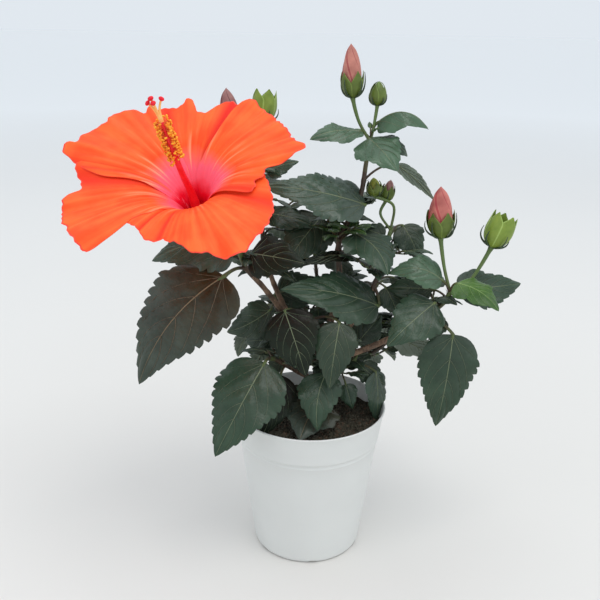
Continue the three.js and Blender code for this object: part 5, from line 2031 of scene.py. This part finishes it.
@dataclass(frozen=True)
class Scatter:
    """A Geometry Nodes rule that strews one grain over a surface.

    density is grains to a square metre, scale is the least and the greatest size of a grain
    over its own, and tilt is how far one may lean in radians.
    """

    name: str
    density: float
    seed: int
    scale: Pair
    tilt: float
    finish: Finish

    INPUTS = (("Surface", "Geometry"), ("Grain", "Object"), ("Density", "Float"), ("Seed", "Int"),
              ("Smallest", "Float"), ("Largest", "Float"), ("Tilt", "Float"), ("Finish", "Material"))
    NODES = (("given", "NodeGroupInput"), ("spread", "GeometryNodeDistributePointsOnFaces"),
             ("grain", "GeometryNodeObjectInfo"), ("lean", "FunctionNodeRandomValue"),
             ("amount", "ShaderNodeVectorMath"), ("angles", "FunctionNodeEulerToRotation"),
             ("rotate", "FunctionNodeRotateRotation"), ("size", "FunctionNodeRandomValue"),
             ("place", "GeometryNodeInstanceOnPoints"), ("real", "GeometryNodeRealizeInstances"),
             ("dress", "GeometryNodeSetMaterial"), ("result", "NodeGroupOutput"))
    # From an output of one node to an input of another
    LINKS = (
        ("given", "Surface", "spread", "Mesh"), ("given", "Density", "spread", "Density"),
        ("given", "Seed", "spread", "Seed"), ("given", "Grain", "grain", "Object"),
        ("given", "Seed", "lean", "Seed"), ("lean", 0, "amount", 0),
        ("given", "Tilt", "amount", "Scale"), ("amount", 0, "angles", 0),
        ("spread", "Rotation", "rotate", 0), ("angles", 0, "rotate", 1),
        ("given", "Smallest", "size", 2), ("given", "Largest", "size", 3),
        ("given", "Seed", "size", "Seed"), ("spread", "Points", "place", "Points"),
        ("grain", "Geometry", "place", "Instance"), ("rotate", 0, "place", "Rotation"),
        ("size", 1, "place", "Scale"), ("place", "Instances", "real", "Geometry"),
        ("real", "Geometry", "dress", "Geometry"), ("given", "Finish", "dress", "Material"),
        ("dress", "Geometry", "result", "Grains"),
    )

    def tree(self) -> tuple[NodeTree, dict[str, str]]:
        """Builds the node tree.

        Returns:
            The tree and the identifier of each named input.
        """
        tree = bpy.data.node_groups.new(f"scatter_{self.name}", "GeometryNodeTree")
        socket = tree.interface.new_socket
        named = {name: socket(name, in_out="INPUT", socket_type=f"NodeSocket{kind}").identifier
                 for name, kind in self.INPUTS}
        socket("Grains", in_out="OUTPUT", socket_type="NodeSocketGeometry")
        nodes = {name: tree.nodes.new(kind) for name, kind in self.NODES}
        nodes["lean"].data_type = "FLOAT_VECTOR"
        nodes["lean"].inputs[0].default_value = (-1, -1, -1)
        nodes["lean"].inputs[1].default_value = (1, 1, 1)
        nodes["amount"].operation = "SCALE"
        nodes["rotate"].rotation_space = "LOCAL"
        nodes["size"].data_type = "FLOAT"
        for source, output, target, place in self.LINKS:
            tree.links.new(nodes[source].outputs[output], nodes[target].inputs[place])
        return tree, named

    def over(self, ground: Mesh, grain: Mesh, slot: str) -> None:
        """Strews the grain over a surface as one plain mesh.

        Args:
            ground: The mesh whose faces carry the grains.
            grain: The mesh of one grain.
            slot: The record's material slot of the result, which is not used.
        """
        seed, host = placed(f"{self.name}_grain", grain), placed(f"{self.name}_host", ground)
        tree, inputs = self.tree()
        modifier = host.modifiers.new("scatter", "NODES")
        modifier.node_group = tree
        wanted = {"Grain": seed, "Density": self.density, "Seed": self.seed, "Smallest": self.scale[0],
                  "Largest": self.scale[1], "Tilt": self.tilt, "Finish": self.finish.material()}
        for name, value in wanted.items():
            modifier[inputs[name]] = value
        mesh = evaluated(host)
        mesh.name = self.name
        bpy.data.objects.remove(host)
        bpy.data.objects.remove(seed)
        settle(placed(self.name, mesh), slot)


# Pot and soil


@dataclass(frozen=True)
class Pot:
    """The tapered pot with its collar, ring lines and drain notches."""

    rim: float = 60
    foot: float = 42.6
    height: float = 120
    wall: float = 1.6
    floor: float = 3.2
    sole: float = 1.0
    foot_round: float = 3.2
    foot_swell: float = 1.13
    slope: float = 0.13
    collar: float = 94
    collar_flare: float = 0.9
    lip: float = 8
    notches: int = 6
    notch_width: float = 9
    notch_height: float = 2.4
    notch_depth: float = 3
    first_notch: float = -84
    sides: int = 144
    crease: float = 40

    # Heights up the wall, and how far a ring line or the collar stands out there
    LINES = ((20, 0), (50, 0), (80, 0), (90.9, 0), (91.5, 0.16), (92.1, 0.38), (92.8, 0.16), (93.4, 0.0),
             (95.0, 0.0), (95.5, 0.2), (96.1, 0.75), (96.7, 0.9), (97.6, 0.8), (104, 0.86))
    LIP_SHARES = (0.25, 0.5, 0.75, 0.92)
    LIP_CURVE = 1.35

    def radius(self, height: float) -> float:
        """Gives the wall's outer radius at a height."""
        return self.foot + self.slope * height

    def outside(self) -> list[Pair]:
        """Works out the outer profile, from the underside's rim to the lip.

        Returns:
            Its points, as radius and height.
        """
        corner = self.foot - self.foot_round
        points = [(self.foot - 6.5, self.sole), (self.foot - 6.0, 0.0), (corner, 0.0)]
        for turn in np.linspace(0, math.pi / 2, 7)[1:]:
            out = self.foot_round * self.foot_swell * math.sin(turn)
            points.append((corner + out, self.foot_round * (1 - math.cos(turn))))
        points += [(self.radius(z) + out, z) for z, out in self.LINES]
        lip = self.height - self.lip
        low = self.radius(lip) + self.collar_flare
        points.append((low, lip))
        for share in self.LIP_SHARES:
            points.append((low + (self.rim - low) * share ** self.LIP_CURVE, lip + self.lip * share))
        return points

    def profile(self) -> Array:
        """Works out the whole profile, up the outside, over the rim and down the inside.

        Returns:
            Its points, as radius and height.
        """
        lip = self.wall / 2
        over = [(self.rim - lip + lip * math.cos(t), self.height - lip + lip * math.sin(t))
                for t in np.linspace(0.1, math.pi - 0.1, 8)]
        # Heights down the inside, and how far it stands out from the plain wall there
        steps = ((self.height - self.lip, self.collar_flare), (self.collar + 3, 0.6), (self.collar, 0),
                 (self.floor + 2, 0), (self.floor, -2))
        inside = [(self.radius(height) + out - self.wall, height) for height, out in steps]
        return np.array(self.outside() + over + inside)

    def make(self) -> None:
        """Makes the pot and cuts the notches in its foot."""
        radii, heights = np.split(self.profile() * MM, 2, axis=1)
        body = Mesher("pot_body")
        body.skin(circled(radii, around(self.sides), heights), UP * self.sole * MM,
                  UP * self.floor * MM, PLASTIC.material())
        pot, cutter = placed("pot_body", body.mesh()), placed("notch_cutter", self.cutter())
        cut = pot.modifiers.new("notches", "BOOLEAN")
        cut.operation = "DIFFERENCE"
        cut.solver = "EXACT"
        cut.object = cutter
        pot.data = evaluated(pot)
        bpy.data.objects.remove(cutter)
        shade(pot.data, True)
        pot.data.set_sharp_from_angle(angle=math.radians(self.crease))
        settle(pot, "pot_plastic", "pot")

    def cutter(self) -> Mesh:
        """Makes the arched bars that the notches are cut with.

        Returns:
            One mesh of them all.
        """
        mesher = Mesher("notch_cutter")
        turn = around(24)
        for k in range(self.notches):
            heading = math.radians(self.first_notch + 360 * k / self.notches)
            out = np.array([math.cos(heading), math.sin(heading), 0.0])
            side = np.array([-math.sin(heading), math.cos(heading), 0.0])
            arch = (side * (self.notch_width / 2 * np.cos(turn))[:, None]
                    + UP * (self.notch_height * np.sin(turn))[:, None])
            ends = [out * (self.foot + reach) for reach in (-self.notch_depth - 2, self.notch_depth)]
            rings = np.stack([arch + end for end in ends]) * MM
            mesher.skin(rings, ends[0] * MM, ends[1] * MM, PLASTIC.material())
        return mesher.mesh()


@dataclass
class Soil:
    """Damp potting mix with crumbs of peat and bark."""

    top: float = 108
    skirt: float = 90
    ripple: float = 0.8
    pot: Pot = Pot()
    rings: int = 70
    sides: int = 150
    # The soil is level round the trunk up to here, and has its full lumps this much further out
    calm: float = 10
    calm_fade: float = 14
    # Grains to a square metre, seed, sizes, half axes in millimetres and finish of each crumb
    crumbs: tuple = (("crumbs_dark", 2.1e5, 3, (0.5, 1.9), (1.1, 0.9, 0.75), CRUMB),
                     ("crumbs_red", 3.4e4, 8, (0.5, 1.8), (1.6, 0.9, 0.5), BARK_CRUMB),
                     ("crumbs_fibre", 2.6e4, 12, (0.7, 1.5), (3.2, 0.25, 0.25), BARK_CRUMB))
    crumb_tilt: float = 1.2

    def height(self, x: float, y: float) -> float:
        """Works out the height of the surface at a place, in millimetres.

        Args:
            x: Millimetres to the right.
            y: Millimetres away from the front.

        Returns:
            The height.
        """
        wide = math.sin(0.21 * x + 1) * math.cos(0.17 * y) - 1
        lumps = noise.noise(Vector((x * 0.14, y * 0.14, 5))) * 1.6
        lumps += noise.noise(Vector((x * 0.5, y * 0.5, 1))) * 0.9
        away = math.hypot(x - Wood.foot[0], y - Wood.foot[1]) - self.calm
        return self.top + (self.ripple * wide + lumps) * min(1.0, max(0.15, away / self.calm_fade))

    def make(self) -> None:
        """Makes the ground and the crumbs on it."""
        edge = self.pot.radius(self.top) + 0.8 - self.pot.wall
        turn = around(self.sides)
        rings = [circled(self.pot.radius(self.skirt) - self.pot.wall - 0.3, turn, self.skirt)]
        for reach in edge * (1 - np.arange(self.rings) / self.rings):
            x, y = reach * np.cos(turn), reach * np.sin(turn)
            rings.append(np.stack([x, y, np.vectorize(self.height)(x, y)], axis=-1))
        ground = Mesher("soil_ground")
        ground.skin(np.stack(rings) * MM, UP * self.skirt * MM, UP * self.height(0, 0) * MM,
                    SOIL.material())
        ground.piece("potting_soil", "soil")
        self.strew()

    def strew(self) -> None:
        """Makes the crumbs, dark ones and reddish ones, and thin fibres."""
        edge = self.pot.radius(self.top) - self.pot.wall - 1.6
        reach, turn = np.meshgrid(np.linspace(edge, 0.5, 24), np.linspace(0, TURN, 49), indexing="ij")
        x, y = reach * np.cos(turn), reach * np.sin(turn)
        disc = Mesher("crumb_ground")
        disc.patch(np.stack([x, y, np.vectorize(self.height)(x, y)], axis=-1) * MM, SOIL.material())
        ground = disc.mesh()
        for name, density, seed, scale, shape, finish in self.crumbs:
            grain = Mesher(name)
            Ball(6, 3).add(grain, np.zeros(3), UP, np.array(shape) * MM, finish.material())
            mesh = grain.mesh()
            shade(mesh, False)
            scatter = Scatter(name, density, seed, scale, self.crumb_tilt, finish)
            scatter.over(ground, mesh, "potting_soil")


# Studio


@dataclass(frozen=True)
class FloorFinish(Finish):
    """The pale floor, which pales further out until it meets the sky, as painted light where the lamps fall
    off.
    """

    far: Colour = (0.99, 0.995, 0.995)

    def dress(self, nodes: Nodes) -> None:
        """Wires the colour by the distance from the plant.

        Args:
            nodes: The material's nodes.
        """
        super().dress(nodes)
        length = nodes.wired("ShaderNodeVectorMath", "Value", {0: nodes.place}, operation="LENGTH")
        # Painted light: the floor pales with distance, where the lamps give less light
        away = nodes.fade(nodes.maths("MULTIPLY", length, 0.25), (0.08, 0.0), (0.9, 1.0))
        nodes.colour(nodes.mix(away, nodes.so_far(), self.far))


@dataclass
class Studio:
    """The plain floor, the soft lights and the camera at the photo's view."""

    position: Triple = (-0.0087, -0.5454, 0.4)
    pitch: float = 19.55
    roll: float = 0.917
    lens: float = 45.94
    sensor: float = 36.0
    floor_radius: float = 60.0
    middle: Triple = (0, 0, 0.22)
    sky: Colour = (0.755, 0.81, 0.865)
    # Each light's place, size, watts and colour
    lights: tuple = (
        ((0.30, -0.65, 1.80), 0.9, 10.0, (1.0, 0.99, 0.97)),
        ((-0.25, 0.5, 1.8), 1.3, 5.5, (0.97, 0.985, 1.0)),
        ((1.3, -0.6, 0.9), 1.0, 2.0, (1.0, 1.0, 1.0)),
        ((-1.3, -0.6, 0.9), 1.0, 1.5, (1.0, 1.0, 1.0)),
    )

    def build(self) -> None:
        """Makes the floor, the sky, the lights and the camera."""
        self.make_floor()
        world = bpy.data.worlds.new("studio_sky")
        world.use_nodes = True
        world.node_tree.nodes["Background"].inputs["Color"].default_value = (*self.sky, 1.0)
        bpy.context.scene.world = world
        for place, size, watts, colour in self.lights:
            self.make_light(place, size, watts, colour)
        self.make_camera()

    def make_floor(self) -> None:
        """Makes the pale round floor."""
        points = circled(self.floor_radius, around(96), 0.0)
        mesh = bpy.data.meshes.new("studio_floor")
        mesh.from_pydata(points.tolist(), [], [tuple(range(len(points)))])
        finish = FloorFinish("studio_floor", (0.72, 0.70, 0.67), (0.75, 0.73, 0.70), 0.8, 1.0, 40.0,
                             0.0, 0.1)
        mesh.materials.append(finish.material())
        placed("studio_floor", mesh)

    def make_light(self, place: Triple, size: float, watts: float, colour: Colour) -> None:
        """Makes one soft light that faces the middle of the plant.

        Args:
            place: Where it hangs.
            size: Its side.
            watts: Its power.
            colour: Its colour.
        """
        lamp = bpy.data.lights.new("studio_light", "AREA")
        lamp.size = size
        lamp.energy = watts
        lamp.color = colour
        light = placed("studio_light", lamp)
        light.location = place
        light.rotation_euler = (Vector(self.middle) - Vector(place)).to_track_quat("-Z", "Y").to_euler()

    def make_camera(self) -> None:
        """Makes the camera and sets the plain view of colours."""
        data = bpy.data.cameras.new("camera")
        data.lens = self.lens
        data.sensor_width = self.sensor
        camera = placed("camera", data)
        tip = Matrix.Rotation(math.radians(90 - self.pitch), 4, "X")
        roll = Matrix.Rotation(math.radians(self.roll), 4, "Z")
        camera.matrix_world = Matrix.Translation(self.position) @ tip @ roll
        bpy.context.scene.camera = camera
        bpy.context.scene.view_settings.view_transform = "Standard"


def main() -> None:
    """Builds the studio, the pot, the wood, every mass and the flower."""
    logging.basicConfig(level=logging.INFO, format="%(message)s")
    Studio().build()
    Pot().make()
    Soil().make()
    wood = Wood()
    wood.trunk()
    wood.boughs()
    for number, shoot in enumerate(SHOOTS):
        shoot.grow(number)
    bloom = Bloom()
    bloom.make_petals()
    bloom.make_calyx()
    bloom.make_column()
    bloom.make_anthers()


if __name__ == "__main__":
    main()
